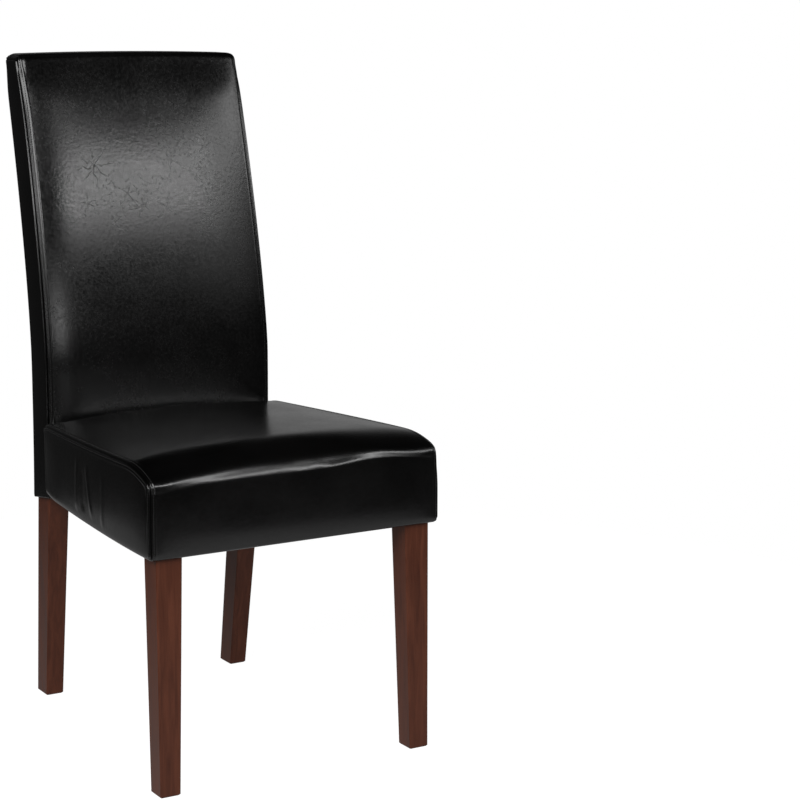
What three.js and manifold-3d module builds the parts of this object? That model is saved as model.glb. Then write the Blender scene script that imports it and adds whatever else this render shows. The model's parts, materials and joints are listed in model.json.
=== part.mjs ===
// A parsons dining chair: a hardwood frame with square tapered legs, under a padded and
// leather-covered box seat and a tall raked back.
// Millimetres, +Z up. The chair faces -Y, left is -X, and the origin is on the floor under
// the middle of the chair. Inside this file Y is counted from the front face of the front
// legs, and the last lines move the finished chair back to its own middle.

import * as THREE from 'three';
import { mergeVertices } from 'three/addons/utils/BufferGeometryUtils.js';
import Module from 'manifold-3d';

// Fits

const clearance = 0.3;
const overrun = 30;

// Overall sizes

const overallHeight = 1005;
const seatUnderside = 343;

// Front legs

const frontLegInset = 11.1;
const frontLegWidth = 39.5;
const frontLegDepth = 39.8;
const frontFootWidth = 30.9;
const frontFootDepth = 32.6;
const legEase = 1.2;
const footEase = 1.8;

// Rear legs, each in one piece with its back post

const rearLegInset = 4;
const rearFootTuck = 7.3;
const rearLegWidth = 33.6;
const rearLegDepth = 44.5;
const rearFootWidth = 28.4;
const rearFootDepth = 37.7;
const rearFootSplay = 51.5;
const postTopDepth = 34;
const postTopGap = 23;

// Leather, wadding and boards

const leatherThickness = 1.2;
const waddingThickness = 2;
const supportPanelThickness = 4;
const rearPanelThickness = 2.5;
const seatBoardThickness = 9;
const dustCoverThickness = 0.8;
const turnUnder = 18;
const seamInset = 4;

// Seat cushion

const seatHalfWidth = 228.5;
const seatRearMargin = 9;
const seatFrontOverhang = 9;
const seatTuck = 4;
const seatNarrowingStart = 20;
const seatNarrowingPower = 1.55;
const cushionDepth = 50.2;
const seatFall = 15;
const seatCrown = 13;
const seatFrontRoll = 28;
const seatSideRoll = 12;
const seatRearRoll = 10;
const seatBottomRoll = 4;
const seatFrontCorner = 8;
const seatRearCorner = 13;
const innerCorner = 6;
const rearTuckDepth = 12;

// Back cushion

const backSkirtDrop = 6;
const backTailDrop = 8;
const backHalfWidth = 188;
const backTopNarrowing = 5.6;
const backThickness = 60;
const backBendRise = 70;
const backWaist = 505;
const backRake = 91;
const backRakePower = 1.4;
const backTailKick = 6;
const backCrown = 14;
const backTopCrown = 4;
const backCrownPower = 3;
const backFrontCorner = 7.5;
const backRearCorner = 7;
const backTopRoll = 10;
const crownStartDrop = 50;
const crownFullDrop = 5;
const backPadGap = 10.2;
const backTopFade = 60;

// Seat frame

const railHeight = 66;
const railThickness = 22;
const railSetIn = 1;
const blockThickness = 28;
const blockHeight = 54;
const cornerFlatDepth = 6.8;
const tenonLength = 18;
const tenonThickness = 10;
const tenonShoulder = 8;

// Back frame

const backRailHeight = 62;
const backRailThickness = 22;
const lowerRailGap = 18.2;

// Fasteners

const boltRadius = 4;
const boltLength = 58;
const boltHeadAcross = 13;
const boltHeadHeight = 5.3;
const boltPitch = 32;
const washerRadius = 9;
const washerThickness = 1.6;
const screwRadius = 2.2;
const screwHeadRadius = 4;
const screwHeadHeight = 2.6;
const blockScrewLength = 32;
const boardScrewLength = 34;
const blockScrewDepth = 15;
const boardScrewSpread = 220;
const boardVentRadius = 14;
const boardVentSpacing = 110;

// Shares of the sizes above, and counts

const blockScrewShare = 0.45;
const topEdgeCrownShare = 0.5;
const middleRailShare = 0.46;
const topRingShares = [0.8, 0.54, 0.27];
const rollSteps = 4;
const cornerSteps = 4;
const backStations = 8;
const boltSides = 12;
const hexSides = 6;
const screwSides = 10;
const ventSides = 16;

// Materials

const finishes = {
  leather: { color: 0x15130f, roughness: 0.35, metalness: 0 },
  legWood: { color: 0x3a1a12, roughness: 0.45, metalness: 0 },
  frameWood: { color: 0xb98f5e, roughness: 0.75, metalness: 0 },
  plywood: { color: 0xc9a574, roughness: 0.7, metalness: 0 },
  hardboard: { color: 0x6f4a2c, roughness: 0.8, metalness: 0 },
  foam: { color: 0xe6d9a8, roughness: 0.95, metalness: 0 },
  wadding: { color: 0xf0f0ec, roughness: 1, metalness: 0 },
  dustCloth: { color: 0x141414, roughness: 0.95, metalness: 0 },
  zincSteel: { color: 0xb4b8bc, roughness: 0.35, metalness: 1 },
};

// Meshes, solids and cuts

const wasm = await Module();
wasm.setup();

const chair = new THREE.Group();

function solidOf(geometry) {
  const bare = geometry.clone();
  bare.deleteAttribute('normal');
  bare.deleteAttribute('uv');
  const merged = mergeVertices(bare);
  return new wasm.Manifold(
    new wasm.Mesh({
      numProp: 3,
      vertProperties: new Float32Array(merged.attributes.position.array),
      triVerts: new Uint32Array(merged.index.array),
    }),
  );
}

function geometryOf(solid) {
  const mesh = solid.getMesh();
  const geometry = new THREE.BufferGeometry();
  geometry.setAttribute('position', new THREE.BufferAttribute(new Float32Array(mesh.vertProperties), 3));
  geometry.setIndex(new THREE.BufferAttribute(new Uint32Array(mesh.triVerts), 1));
  geometry.computeVertexNormals();
  return geometry;
}

function flipped(solid) {
  const geometry = geometryOf(solid);
  const position = geometry.attributes.position;
  for (let i = 0; i < position.count; i += 1) position.setX(i, -position.getX(i));
  const index = geometry.index;
  for (let i = 0; i < index.count; i += 3) {
    const held = index.getX(i);
    index.setX(i, index.getX(i + 1));
    index.setX(i + 1, held);
  }
  geometry.computeVertexNormals();
  return geometry;
}

function addNode(name, geometry, finish) {
  const mesh = new THREE.Mesh(geometry, new THREE.MeshStandardMaterial(finish));
  mesh.name = name;
  chair.add(mesh);
}

// Adds a piece and its mirror image; the solid given is the one on the +X side.
function addPair(name, solid, finish) {
  addNode(`${name}_right`, geometryOf(solid), finish);
  addNode(`${name}_left`, flipped(solid), finish);
}

// A closed body through rings of points, each turning anticlockwise seen from above.
function loft(rings) {
  const count = rings[0].length;
  const points = rings.flat();
  const triangles = [];
  for (let ring = 0; ring < rings.length - 1; ring += 1) {
    for (let i = 0; i < count; i += 1) {
      const a = ring * count + i;
      const b = ring * count + ((i + 1) % count);
      triangles.push(a, b, b + count, a, b + count, a + count);
    }
  }
  const middle = (ring) => ring.reduce((sum, p) => sum.add(p), new THREE.Vector3()).divideScalar(count);
  const low = points.push(middle(rings[0])) - 1;
  const high = points.push(middle(rings.at(-1))) - 1;
  const last = (rings.length - 1) * count;
  for (let i = 0; i < count; i += 1) {
    const next = (i + 1) % count;
    triangles.push(low, next, i);
    triangles.push(high, last + i, last + next);
  }
  const geometry = new THREE.BufferGeometry();
  geometry.setAttribute('position', new THREE.Float32BufferAttribute(points.flatMap((p) => [p.x, p.y, p.z]), 3));
  geometry.setIndex(triangles);
  return solidOf(geometry);
}

// Prisms whose outline lies across one axis and which run from one value of it to another.
function prismAlongZ(outline, from, to) {
  const shape = new THREE.Shape(outline.map(([x, y]) => new THREE.Vector2(x, y)));
  const geometry = new THREE.ExtrudeGeometry(shape, { depth: to - from, bevelEnabled: false });
  return solidOf(geometry.translate(0, 0, from));
}

function prismAlongX(outline, from, to) {
  const shape = new THREE.Shape(outline.map(([y, z]) => new THREE.Vector2(y, z)));
  const geometry = new THREE.ExtrudeGeometry(shape, { depth: to - from, bevelEnabled: false });
  const turn = new THREE.Matrix4().makeBasis(
    new THREE.Vector3(0, 1, 0),
    new THREE.Vector3(0, 0, 1),
    new THREE.Vector3(1, 0, 0),
  );
  return solidOf(geometry.applyMatrix4(turn).translate(from, 0, 0));
}

function prismAlongY(outline, from, to) {
  const shape = new THREE.Shape(outline.map(([x, z]) => new THREE.Vector2(z, x)));
  const geometry = new THREE.ExtrudeGeometry(shape, { depth: to - from, bevelEnabled: false });
  const turn = new THREE.Matrix4().makeBasis(
    new THREE.Vector3(0, 0, 1),
    new THREE.Vector3(1, 0, 0),
    new THREE.Vector3(0, 1, 0),
  );
  return solidOf(geometry.applyMatrix4(turn).translate(0, from, 0));
}

function boxBetween(low, high) {
  const outline = [[low[0], low[1]], [high[0], low[1]], [high[0], high[1]], [low[0], high[1]]];
  return prismAlongZ(outline, low[2], high[2]);
}

// Turns a profile about its axis and lays that axis along a direction from a point.
function turned(profile, segments, point, direction) {
  const geometry = new THREE.LatheGeometry(profile.map(([r, h]) => new THREE.Vector2(r, h)), segments);
  const up = new THREE.Vector3(0, 1, 0);
  const turn = new THREE.Quaternion().setFromUnitVectors(up, direction.clone().normalize());
  return solidOf(geometry.applyQuaternion(turn).translate(point.x, point.y, point.z));
}

// Numbers between

function mix(a, b, share) {
  return a + (b - a) * share;
}

function smooth(share) {
  const t = Math.min(1, Math.max(0, share));
  return t * t * (3 - 2 * t);
}

// Heights of the seat and of what stands on it, and places that the seat takes from the back

const wrap = leatherThickness + waddingThickness + 2 * clearance;
const railBottom = seatUnderside + leatherThickness + clearance;
const railTop = railBottom + railHeight;
const boardBottom = railTop + clearance;
const boardTop = boardBottom + seatBoardThickness;
const seatTopFront = boardTop + cushionDepth;
const seatTopRear = seatTopFront - seatFall;
const backBottom = seatUnderside - backSkirtDrop;
const backPadBottom = boardTop + backPadGap;
const backCrownStart = seatTopRear - crownStartDrop;
const backCrownFull = seatTopRear - crownFullDrop;
const backBend = seatTopFront + backBendRise;
const seatRear = backWaist - backThickness + seatTuck;
const seatRearNarrowing = seatHalfWidth - backHalfWidth - seatRearMargin;

// Outline of the upholstered seat

function seatHalfAt(y) {
  const run = Math.max(0, (y - seatNarrowingStart) / (seatRear - seatNarrowingStart));
  return seatHalfWidth - seatRearNarrowing * run ** seatNarrowingPower;
}

function seatTopAt(x, y) {
  const along = (y + seatFrontOverhang) / (seatRear + seatFrontOverhang);
  const across = x / seatHalfAt(y);
  return mix(seatTopFront, seatTopRear, along) + seatCrown * (1 - across ** 2);
}

// Points round a corner, from one angle to another, with the share of the way that each lies at.
function arcPoints(centre, radius, fromAngle, toAngle) {
  const points = [];
  for (let i = 0; i <= cornerSteps; i += 1) {
    const share = i / cornerSteps;
    const angle = mix(fromAngle, toAngle, share);
    points.push({ x: centre[0] + radius * Math.cos(angle), y: centre[1] + radius * Math.sin(angle), share });
  }
  return points;
}

// The right half of the seat's plan, front to rear, drawn in by a distance on each side. Each
// point says how much it belongs to the front and to the rear edge, and so how it is rolled.
function seatHalfPlan(inFront, inSide, inRear) {
  const front = inFront - seatFrontOverhang;
  const rear = seatRear - inRear;
  const frontSteps = 4;
  const sideSteps = 6;
  const frontRadius = Math.max(innerCorner, seatFrontCorner - Math.max(inFront, inSide));
  const rearRadius = Math.max(innerCorner, seatRearCorner - Math.max(inRear, inSide));
  const frontCentre = [seatHalfWidth - inSide - frontRadius, front + frontRadius];
  const rearCentre = [seatHalfAt(rear - rearRadius) - inSide - rearRadius, rear - rearRadius];
  const plan = [];
  for (let i = 0; i < frontSteps; i += 1) {
    plan.push({ x: (frontCentre[0] * i) / frontSteps, y: front, ofFront: 1, ofRear: 0 });
  }
  for (const { x, y, share } of arcPoints(frontCentre, frontRadius, -Math.PI / 2, 0)) {
    plan.push({ x, y, ofFront: 1 - share, ofRear: 0 });
  }
  for (let i = 1; i < sideSteps; i += 1) {
    const y = mix(frontCentre[1], rearCentre[1], i / sideSteps);
    plan.push({ x: seatHalfAt(y) - inSide, y, ofFront: 0, ofRear: 0 });
  }
  for (const { x, y, share } of arcPoints(rearCentre, rearRadius, 0, Math.PI / 2)) {
    plan.push({ x, y, ofFront: 0, ofRear: share });
  }
  for (let i = frontSteps - 1; i >= 0; i -= 1) {
    plan.push({ x: (rearCentre[0] * i) / frontSteps, y: rear, ofFront: 0, ofRear: 1 });
  }
  return plan;
}

function wholePlan(half) {
  const mirror = half.slice(1, -1).reverse().map((p) => ({ ...p, x: -p.x }));
  return [...half, ...mirror];
}

// The seat's plan drawn in by more than its corners' radius, as a plain outline.
function drawnInPlan(distance) {
  const sideSteps = 6;
  const right = [];
  for (let i = 0; i <= sideSteps; i += 1) {
    const y = mix(distance - seatFrontOverhang, seatRear - distance, i / sideSteps);
    right.push([seatHalfAt(y) - distance, y]);
  }
  return [...right, ...right.map(([x, y]) => [-x, y]).reverse()];
}

// The seat's crowned form, moved outwards by a distance.
function seatForm(grow) {
  const rolls = [seatFrontRoll + grow, seatSideRoll + grow, seatRearRoll + grow];
  const rollOf = (p) => p.ofFront * rolls[0] + p.ofRear * rolls[2] + (1 - p.ofFront - p.ofRear) * rolls[1];
  const rings = [];
  const bottomRoll = seatBottomRoll + grow;
  for (const angle of [0, Math.PI / 4, Math.PI / 2]) {
    const inset = bottomRoll * (1 - Math.sin(angle)) - grow;
    const z = seatUnderside - grow + bottomRoll * (1 - Math.cos(angle));
    rings.push(wholePlan(seatHalfPlan(inset, inset, inset)).map((p) => new THREE.Vector3(p.x, p.y, z)));
  }
  const edge = wholePlan(seatHalfPlan(seatFrontRoll, seatSideRoll, seatRearRoll));
  for (let i = 0; i <= rollSteps; i += 1) {
    const angle = (Math.PI / 2) * (i / rollSteps);
    const insets = rolls.map((roll) => roll * (1 - Math.cos(angle)) - grow);
    rings.push(wholePlan(seatHalfPlan(...insets)).map((p, k) => {
      const top = seatTopAt(edge[k].x, edge[k].y) + grow;
      return new THREE.Vector3(p.x, p.y, top - rollOf(p) * (1 - Math.sin(angle)));
    }));
  }
  const centreY = (seatRear - seatFrontOverhang) / 2;
  for (const share of topRingShares) {
    rings.push(edge.map((p) => {
      const x = p.x * share;
      const y = mix(centreY, p.y, share);
      return new THREE.Vector3(x, y, seatTopAt(x, y) + grow);
    }));
  }
  return loft(rings);
}

// Outline of the upholstered back

const backTail = backBottom - backTailDrop;
const backShoulder = overallHeight - backTopCrown - backTopRoll;

// The heights at which the back's curve is sampled. Every piece of the back bends at these.
const stations = [
  backTail - overrun,
  (backTail + backCrownStart) / 2,
  backCrownStart,
  backCrownFull,
  (backCrownFull + backBend) / 2,
];
for (let i = 0; i <= backStations; i += 1) stations.push(mix(backBend, backShoulder, i / backStations));

// The stations between two heights, with the two heights themselves.
function heightsBetween(bottom, top) {
  return [bottom, ...stations.filter((z) => z > bottom && z < top), top];
}

function backRise(z) {
  return Math.max(0, (z - backBend) / (overallHeight - backBend));
}

function backCurveAt(z) {
  const fall = Math.max(0, (backBend - z) / (backBend - backTail));
  return backWaist + backRake * backRise(z) ** backRakePower + backTailKick * fall ** 2;
}

// Distance of the back's rear face behind the front legs, at a height.
function backRearAt(z) {
  const found = stations.findIndex((station) => station >= z);
  const next = found < 0 ? stations.length - 1 : Math.max(1, found);
  const low = stations[next - 1];
  const high = stations[next];
  return mix(backCurveAt(low), backCurveAt(high), (z - low) / (high - low));
}

function backFrontAt(z) {
  return backRearAt(z) - backThickness;
}

function backHalfAt(z) {
  return backHalfWidth - backTopNarrowing * backRise(z);
}

function backCrownAt(z) {
  const low = smooth((z - backCrownStart) / (backCrownFull - backCrownStart));
  const high = smooth((overallHeight - z) / backTopFade);
  return backCrown * low * mix(topEdgeCrownShare, 1, high);
}

// The right half of the back's section at a height, front to rear, drawn in by a distance.
function backHalfSection(z, inset) {
  const half = backHalfAt(z) - inset;
  const rear = backRearAt(z) - inset;
  const front = backFrontAt(z) + inset;
  const crown = backCrownAt(z);
  const rearSteps = 2;
  const frontSteps = 6;
  const frontRadius = Math.max(innerCorner, backFrontCorner - inset);
  const rearRadius = Math.max(innerCorner, backRearCorner - inset);
  const frontFlat = half - frontRadius;
  const rearFlat = half - rearRadius;
  const section = [];
  for (let i = 0; i < frontSteps; i += 1) {
    const share = i / frontSteps;
    section.push({ x: frontFlat * share, y: front - crown * (1 - share ** backCrownPower) });
  }
  section.push(...arcPoints([frontFlat, front + frontRadius], frontRadius, -Math.PI / 2, 0));
  section.push(...arcPoints([rearFlat, rear - rearRadius], rearRadius, 0, Math.PI / 2));
  for (let i = rearSteps - 1; i >= 0; i -= 1) {
    section.push({ x: (rearFlat * i) / rearSteps, y: rear });
  }
  return section;
}

// The back's crowned form, moved outwards by a distance.
function backForm(grow) {
  const topRoll = backTopRoll + grow;
  const ring = (z, inset, lift) => wholePlan(backHalfSection(z, inset)).map(
    (p) => new THREE.Vector3(p.x, p.y, z + lift * (1 - (p.x / backHalfWidth) ** 2)),
  );
  const rings = stations.slice(0, -1).map((z) => ring(z, -grow, 0));
  for (let i = 0; i <= rollSteps; i += 1) {
    const angle = (Math.PI / 2) * (i / rollSteps);
    const rise = Math.sin(angle);
    rings.push(ring(backShoulder + topRoll * rise, topRoll * (1 - Math.cos(angle)) - grow, backTopCrown * rise));
  }
  return loft(rings);
}

// Faces of the legs, and of the back posts that the rear legs run on into

const postTop = overallHeight - postTopGap;
const frontLegOuter = seatHalfWidth - frontLegInset;
const frontLegInner = frontLegOuter - frontLegWidth;
const rearLegOuter = backHalfWidth - rearLegInset;

function postRearAt(z) {
  if (z >= seatUnderside) return backRearAt(z) - wrap;
  const legRear = backRearAt(seatUnderside) - wrap;
  return mix(backWaist - wrap + rearFootSplay, legRear, z / seatUnderside);
}

function postDepthAt(z) {
  if (z < seatUnderside) return mix(rearFootDepth, rearLegDepth, z / seatUnderside);
  return mix(rearLegDepth, postTopDepth, (z - seatUnderside) / (postTop - seatUnderside));
}

function postFrontAt(z) {
  return postRearAt(z) - postDepthAt(z);
}

function postOuterAt(z) {
  if (z < seatUnderside) return mix(rearLegOuter - rearFootTuck, rearLegOuter, z / seatUnderside);
  return rearLegOuter - (backHalfWidth - backHalfAt(z));
}

function postInnerAt(z) {
  const width = z < seatUnderside ? mix(rearFootWidth, rearLegWidth, z / seatUnderside) : rearLegWidth;
  return postOuterAt(z) - width;
}

const rearLegFace = Math.min(postFrontAt(railBottom), postFrontAt(boardTop));
const turnUnderRear = seatRear - seatRearCorner - turnUnder;
const rearRailRear = Math.min(postRearAt(railBottom), postRearAt(railTop)) - rearPanelThickness - clearance;
const rearRailFront = rearRailRear - railThickness;

function sideRailOuterAt(y) {
  const run = (y - frontLegDepth) / (rearLegFace - frontLegDepth);
  return mix(frontLegOuter, rearLegOuter - railSetIn, run);
}

function sideRailInnerAt(y) {
  return sideRailOuterAt(y) - railThickness;
}

// Cross rails between the rear legs, and the tenons that hold rails in those legs

const rearRail = {
  bottom: railBottom,
  top: railTop,
  thickness: railThickness,
  rearAt: () => rearRailRear,
};

function backRail(name, bottom) {
  return {
    name,
    bottom,
    top: bottom + backRailHeight,
    thickness: backRailThickness,
    rearAt: (z) => postRearAt(z) - rearPanelThickness - clearance,
  };
}

const lowerRailBottom = boardTop + lowerRailGap;
const topRailBottom = postTop - backRailHeight;
const backRails = [
  backRail('back_lower_rail', lowerRailBottom),
  backRail('back_middle_rail', mix(lowerRailBottom, topRailBottom, middleRailShare)),
  backRail('back_top_rail', topRailBottom),
];

function crossRailHalf({ bottom, top }) {
  return Math.min(postInnerAt(bottom), postInnerAt(top)) - clearance;
}

// A bar that follows a cross rail: as long as twice a half, and thinner by a cheek on each
// face and a shoulder on each edge.
function crossBar({ bottom, top, thickness, rearAt }, half, cheek, shoulder) {
  const section = heightsBetween(bottom + shoulder, top - shoulder);
  const outline = [
    ...section.map((z) => [rearAt(z) - cheek, z]),
    ...section.map((z) => [rearAt(z) - thickness + cheek, z]).reverse(),
  ];
  return prismAlongX(outline, -half, half);
}

function crossTenons(rail, grow) {
  const cheek = (rail.thickness - tenonThickness) / 2;
  return crossBar(rail, crossRailHalf(rail) + tenonLength + grow, cheek - grow, tenonShoulder - grow);
}

function crossRail(rail) {
  return crossBar(rail, crossRailHalf(rail), 0, 0).add(crossTenons(rail, 0));
}

const sideRailEnd = rearLegFace - clearance;

function sideTenon(grow) {
  const inner = sideRailInnerAt(sideRailEnd) + (railThickness - tenonThickness) / 2;
  return boxBetween(
    [inner - grow, sideRailEnd - tenonLength, railBottom + tenonShoulder - grow],
    [inner + tenonThickness + grow, sideRailEnd + tenonLength + grow, railTop - tenonShoulder + grow],
  );
}

// Legs

// A square section with its four corners eased, turning anticlockwise.
function easedSquare(lowX, highX, lowY, highY, ease, z) {
  const corners = [
    [lowX + ease, lowY], [highX - ease, lowY], [highX, lowY + ease], [highX, highY - ease],
    [highX - ease, highY], [lowX + ease, highY], [lowX, highY - ease], [lowX, lowY + ease],
  ];
  return corners.map(([x, y]) => new THREE.Vector3(x, y, z));
}

function frontLegBlank(grow) {
  const ring = (z, inset) => {
    const share = Math.min(1, z / seatUnderside);
    const width = mix(frontFootWidth, frontLegWidth, share);
    const depth = mix(frontFootDepth, frontLegDepth, share);
    const edge = grow - inset;
    return easedSquare(frontLegOuter - width - edge, frontLegOuter + edge, -edge, depth + edge, legEase, z);
  };
  return loft([ring(0, footEase), ring(footEase, 0), ring(seatUnderside, 0), ring(railTop, 0)]);
}

function rearLeg(grow) {
  const ring = (z, inset) => {
    const edge = grow - inset;
    return easedSquare(
      postInnerAt(z) - edge, postOuterAt(z) + edge, postFrontAt(z) - edge, postRearAt(z) + edge, legEase, z,
    );
  };
  const above = heightsBetween(seatUnderside, postTop).map((z) => ring(z, 0));
  return loft([ring(0, footEase), ring(footEase, 0), ...above]);
}

// Screws and bolts

function screw(length, grow, point, direction) {
  const headRadius = screwHeadRadius + grow;
  const radius = screwRadius + grow;
  const tip = length + grow;
  const profile = [
    [0, 0], [headRadius, 0], [radius, screwHeadHeight], [radius, tip - screwRadius], [0, tip],
  ];
  return turned(profile, screwSides, point, direction);
}

// The clear hole above a sunk screw head, back to the face that it was driven through.
function screwWell(point, direction) {
  const back = direction.clone().negate();
  const radius = screwHeadRadius + clearance;
  return turned([[0, 0], [radius, 0], [radius, overrun], [0, overrun]], screwSides, point, back);
}

function boltShank(grow, point, direction) {
  const radius = boltRadius + grow;
  const tip = boltLength + grow;
  const tipEase = boltRadius / 4;
  const profile = [[0, 0], [radius, 0], [radius, tip - tipEase], [radius - tipEase, tip], [0, tip]];
  return turned(profile, boltSides, point, direction);
}

function boltHead(point, direction) {
  const radius = boltHeadAcross / Math.sqrt(3);
  const back = direction.clone().negate();
  return turned([[0, 0], [radius, 0], [radius, boltHeadHeight], [0, boltHeadHeight]], hexSides, point, back);
}

function washer(point, direction) {
  const bore = boltRadius + clearance;
  const profile = [
    [bore, 0], [washerRadius, 0], [washerRadius, washerThickness], [bore, washerThickness], [bore, 0],
  ];
  return turned(profile, boltSides, point, direction);
}

// Seat frame: rails, corner blocks and their fasteners

const railMiddle = (railBottom + railTop) / 2;
const blockBottom = railMiddle - blockHeight / 2;
const blockTop = railMiddle + blockHeight / 2;
const diagonal = Math.SQRT1_2;

// A front corner block lies square across the leg's inner corner, on the line y - x = flat.
const frontFlat = frontLegDepth - frontLegInner - cornerFlatDepth / diagonal;
const frontBlockFace = railThickness + clearance;
const frontBlockOuterLine = frontFlat + clearance / diagonal;
const frontBlockInnerLine = frontBlockOuterLine + blockThickness / diagonal;

// Where the line y = start + slope * x meets the gap beside the inner face of a side rail.
function railMeets(start, slope) {
  const lean = (sideRailInnerAt(frontLegDepth) - sideRailInnerAt(0)) / frontLegDepth;
  const y = (start + slope * (sideRailInnerAt(0) - clearance)) / (1 - slope * lean);
  return [sideRailInnerAt(y) - clearance, y];
}

function frontBlockOutline() {
  return [
    [frontBlockFace - frontBlockInnerLine, frontBlockFace],
    [frontBlockFace - frontBlockOuterLine, frontBlockFace],
    railMeets(frontBlockOuterLine, 1),
    railMeets(frontBlockInnerLine, 1),
  ];
}

const rearBlockFace = rearRailFront - clearance;
const rearBlockOuterLine = postInnerAt(railTop) + rearLegFace - clearance / diagonal;
const rearBlockInnerLine = rearBlockOuterLine - blockThickness / diagonal;

function rearBlockOutline() {
  return [
    [rearBlockInnerLine - rearBlockFace, rearBlockFace],
    railMeets(rearBlockInnerLine, -1),
    railMeets(rearBlockOuterLine, -1),
    [rearBlockOuterLine - rearBlockFace, rearBlockFace],
  ];
}

// Screws of a corner block: one into the cross rail and one into the side rail.
function blockScrews(outline, crossEnds, sideEnds, towardsCross) {
  const [crossNear, crossFar] = crossEnds.map((i) => outline[i]);
  const [sideNear, sideFar] = sideEnds.map((i) => outline[i]);
  const crossX = mix(crossNear[0], crossFar[0], blockScrewShare);
  const sideY = mix(sideNear[1], sideFar[1], blockScrewShare);
  return [
    {
      name: 'cross',
      point: new THREE.Vector3(crossX, crossNear[1] - towardsCross * blockScrewDepth, railMiddle),
      direction: new THREE.Vector3(0, towardsCross, 0),
    },
    {
      name: 'side',
      point: new THREE.Vector3(sideNear[0] - blockScrewDepth, sideY, railMiddle),
      direction: new THREE.Vector3(1, 0, 0),
    },
  ];
}

const frontScrews = blockScrews(frontBlockOutline(), [0, 1], [3, 2], -1);
const rearScrews = blockScrews(rearBlockOutline(), [0, 3], [1, 2], 1);

const boltDirection = new THREE.Vector3(1, -1, 0);

function boltPlaces() {
  const cornerSum = frontLegInner + frontLegDepth;
  const x = (cornerSum - frontBlockInnerLine) / 2;
  return [-1, 1].map((side) => new THREE.Vector3(x, cornerSum - x, railMiddle + (side * boltPitch) / 2));
}

// Moves a point along the bolts' line, away from the leg.
function backFrom(point, distance) {
  return point.clone().addScaledVector(boltDirection, -distance * diagonal);
}

function boltSeat(point) {
  return backFrom(point, washerThickness + 2 * clearance);
}

function withoutEach(solid, cutters) {
  return cutters.reduce((left, cutter) => left.subtract(cutter), solid);
}

const boltHoles = boltPlaces().map((point) => boltShank(clearance, boltSeat(point), boltDirection));

function screwHoles(screws) {
  return screws.flatMap(({ point, direction }) => [
    screw(blockScrewLength, clearance, point, direction),
    screwWell(point, direction),
  ]);
}

function bothSides(solids) {
  return [...solids, ...solids.map((solid) => solidOf(flipped(solid)))];
}

const boardScrewPlaces = [railThickness / 2, (rearRailFront + rearRailRear) / 2].map(
  (y) => new THREE.Vector3(boardScrewSpread / 2, y, boardTop),
);
const down = new THREE.Vector3(0, 0, -1);
const boardScrewHoles = boardScrewPlaces.map((point) => screw(boardScrewLength, clearance, point, down));

function makeLegs() {
  const cornerCut = prismAlongZ(
    [
      [frontLegDepth - frontFlat, frontLegDepth],
      [frontLegDepth - frontFlat, frontLegDepth + overrun],
      [frontLegInner - overrun, frontLegDepth + overrun],
      [frontLegInner - overrun, frontLegInner + frontFlat],
      [frontLegInner, frontLegInner + frontFlat],
    ],
    railBottom,
    railTop + overrun,
  );
  addPair('front_leg', withoutEach(frontLegBlank(0), [cornerCut, ...boltHoles]), finishes.legWood);
  const mortises = [rearRail, ...backRails].map((rail) => crossTenons(rail, clearance));
  addPair('rear_leg', withoutEach(rearLeg(0), [...mortises, sideTenon(clearance)]), finishes.legWood);
}

function makeRails() {
  const frontRail = boxBetween(
    [-frontLegInner + clearance, 0, railBottom],
    [frontLegInner - clearance, railThickness, railTop],
  );
  const frontCuts = bothSides([screwHoles([frontScrews[0]])[0], boardScrewHoles[0]]);
  addNode('front_rail', geometryOf(withoutEach(frontRail, frontCuts)), finishes.frameWood);

  const rearCuts = bothSides([screwHoles([rearScrews[0]])[0], boardScrewHoles[1]]);
  addNode('rear_rail', geometryOf(withoutEach(crossRail(rearRail), rearCuts)), finishes.frameWood);

  const start = frontLegDepth + clearance;
  const sideRail = prismAlongZ(
    [
      [sideRailInnerAt(start), start],
      [sideRailOuterAt(start), start],
      [sideRailOuterAt(sideRailEnd), sideRailEnd],
      [sideRailInnerAt(sideRailEnd), sideRailEnd],
    ],
    railBottom,
    railTop,
  ).add(sideTenon(0));
  const sideCuts = [frontScrews[1], rearScrews[1]].map((place) => screwHoles([place])[0]);
  addPair('side_rail', withoutEach(sideRail, sideCuts), finishes.frameWood);
}

function makeCornerBlocks() {
  const front = prismAlongZ(frontBlockOutline(), blockBottom, blockTop);
  const rear = prismAlongZ(rearBlockOutline(), blockBottom, blockTop);
  addPair(
    'front_corner_block',
    withoutEach(front, [...boltHoles, ...screwHoles(frontScrews)]),
    finishes.frameWood,
  );
  addPair('rear_corner_block', withoutEach(rear, screwHoles(rearScrews)), finishes.frameWood);
}

function makeFrameFasteners() {
  boltPlaces().forEach((point, i) => {
    const place = ['lower', 'upper'][i];
    const seat = boltSeat(point);
    const bolt = boltShank(0, seat, boltDirection).add(boltHead(seat, boltDirection));
    addPair(`leg_bolt_${place}`, bolt, finishes.zincSteel);
    const washerPoint = backFrom(point, washerThickness + clearance);
    addPair(`leg_bolt_washer_${place}`, washer(washerPoint, boltDirection), finishes.zincSteel);
  });
  for (const [corner, screws] of [['front', frontScrews], ['rear', rearScrews]]) {
    for (const { name, point, direction } of screws) {
      const solid = screw(blockScrewLength, 0, point, direction);
      addPair(`${corner}_block_${name}_screw`, solid, finishes.zincSteel);
    }
  }
}

// Seat board and the screws that hold it to the cross rails

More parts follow.
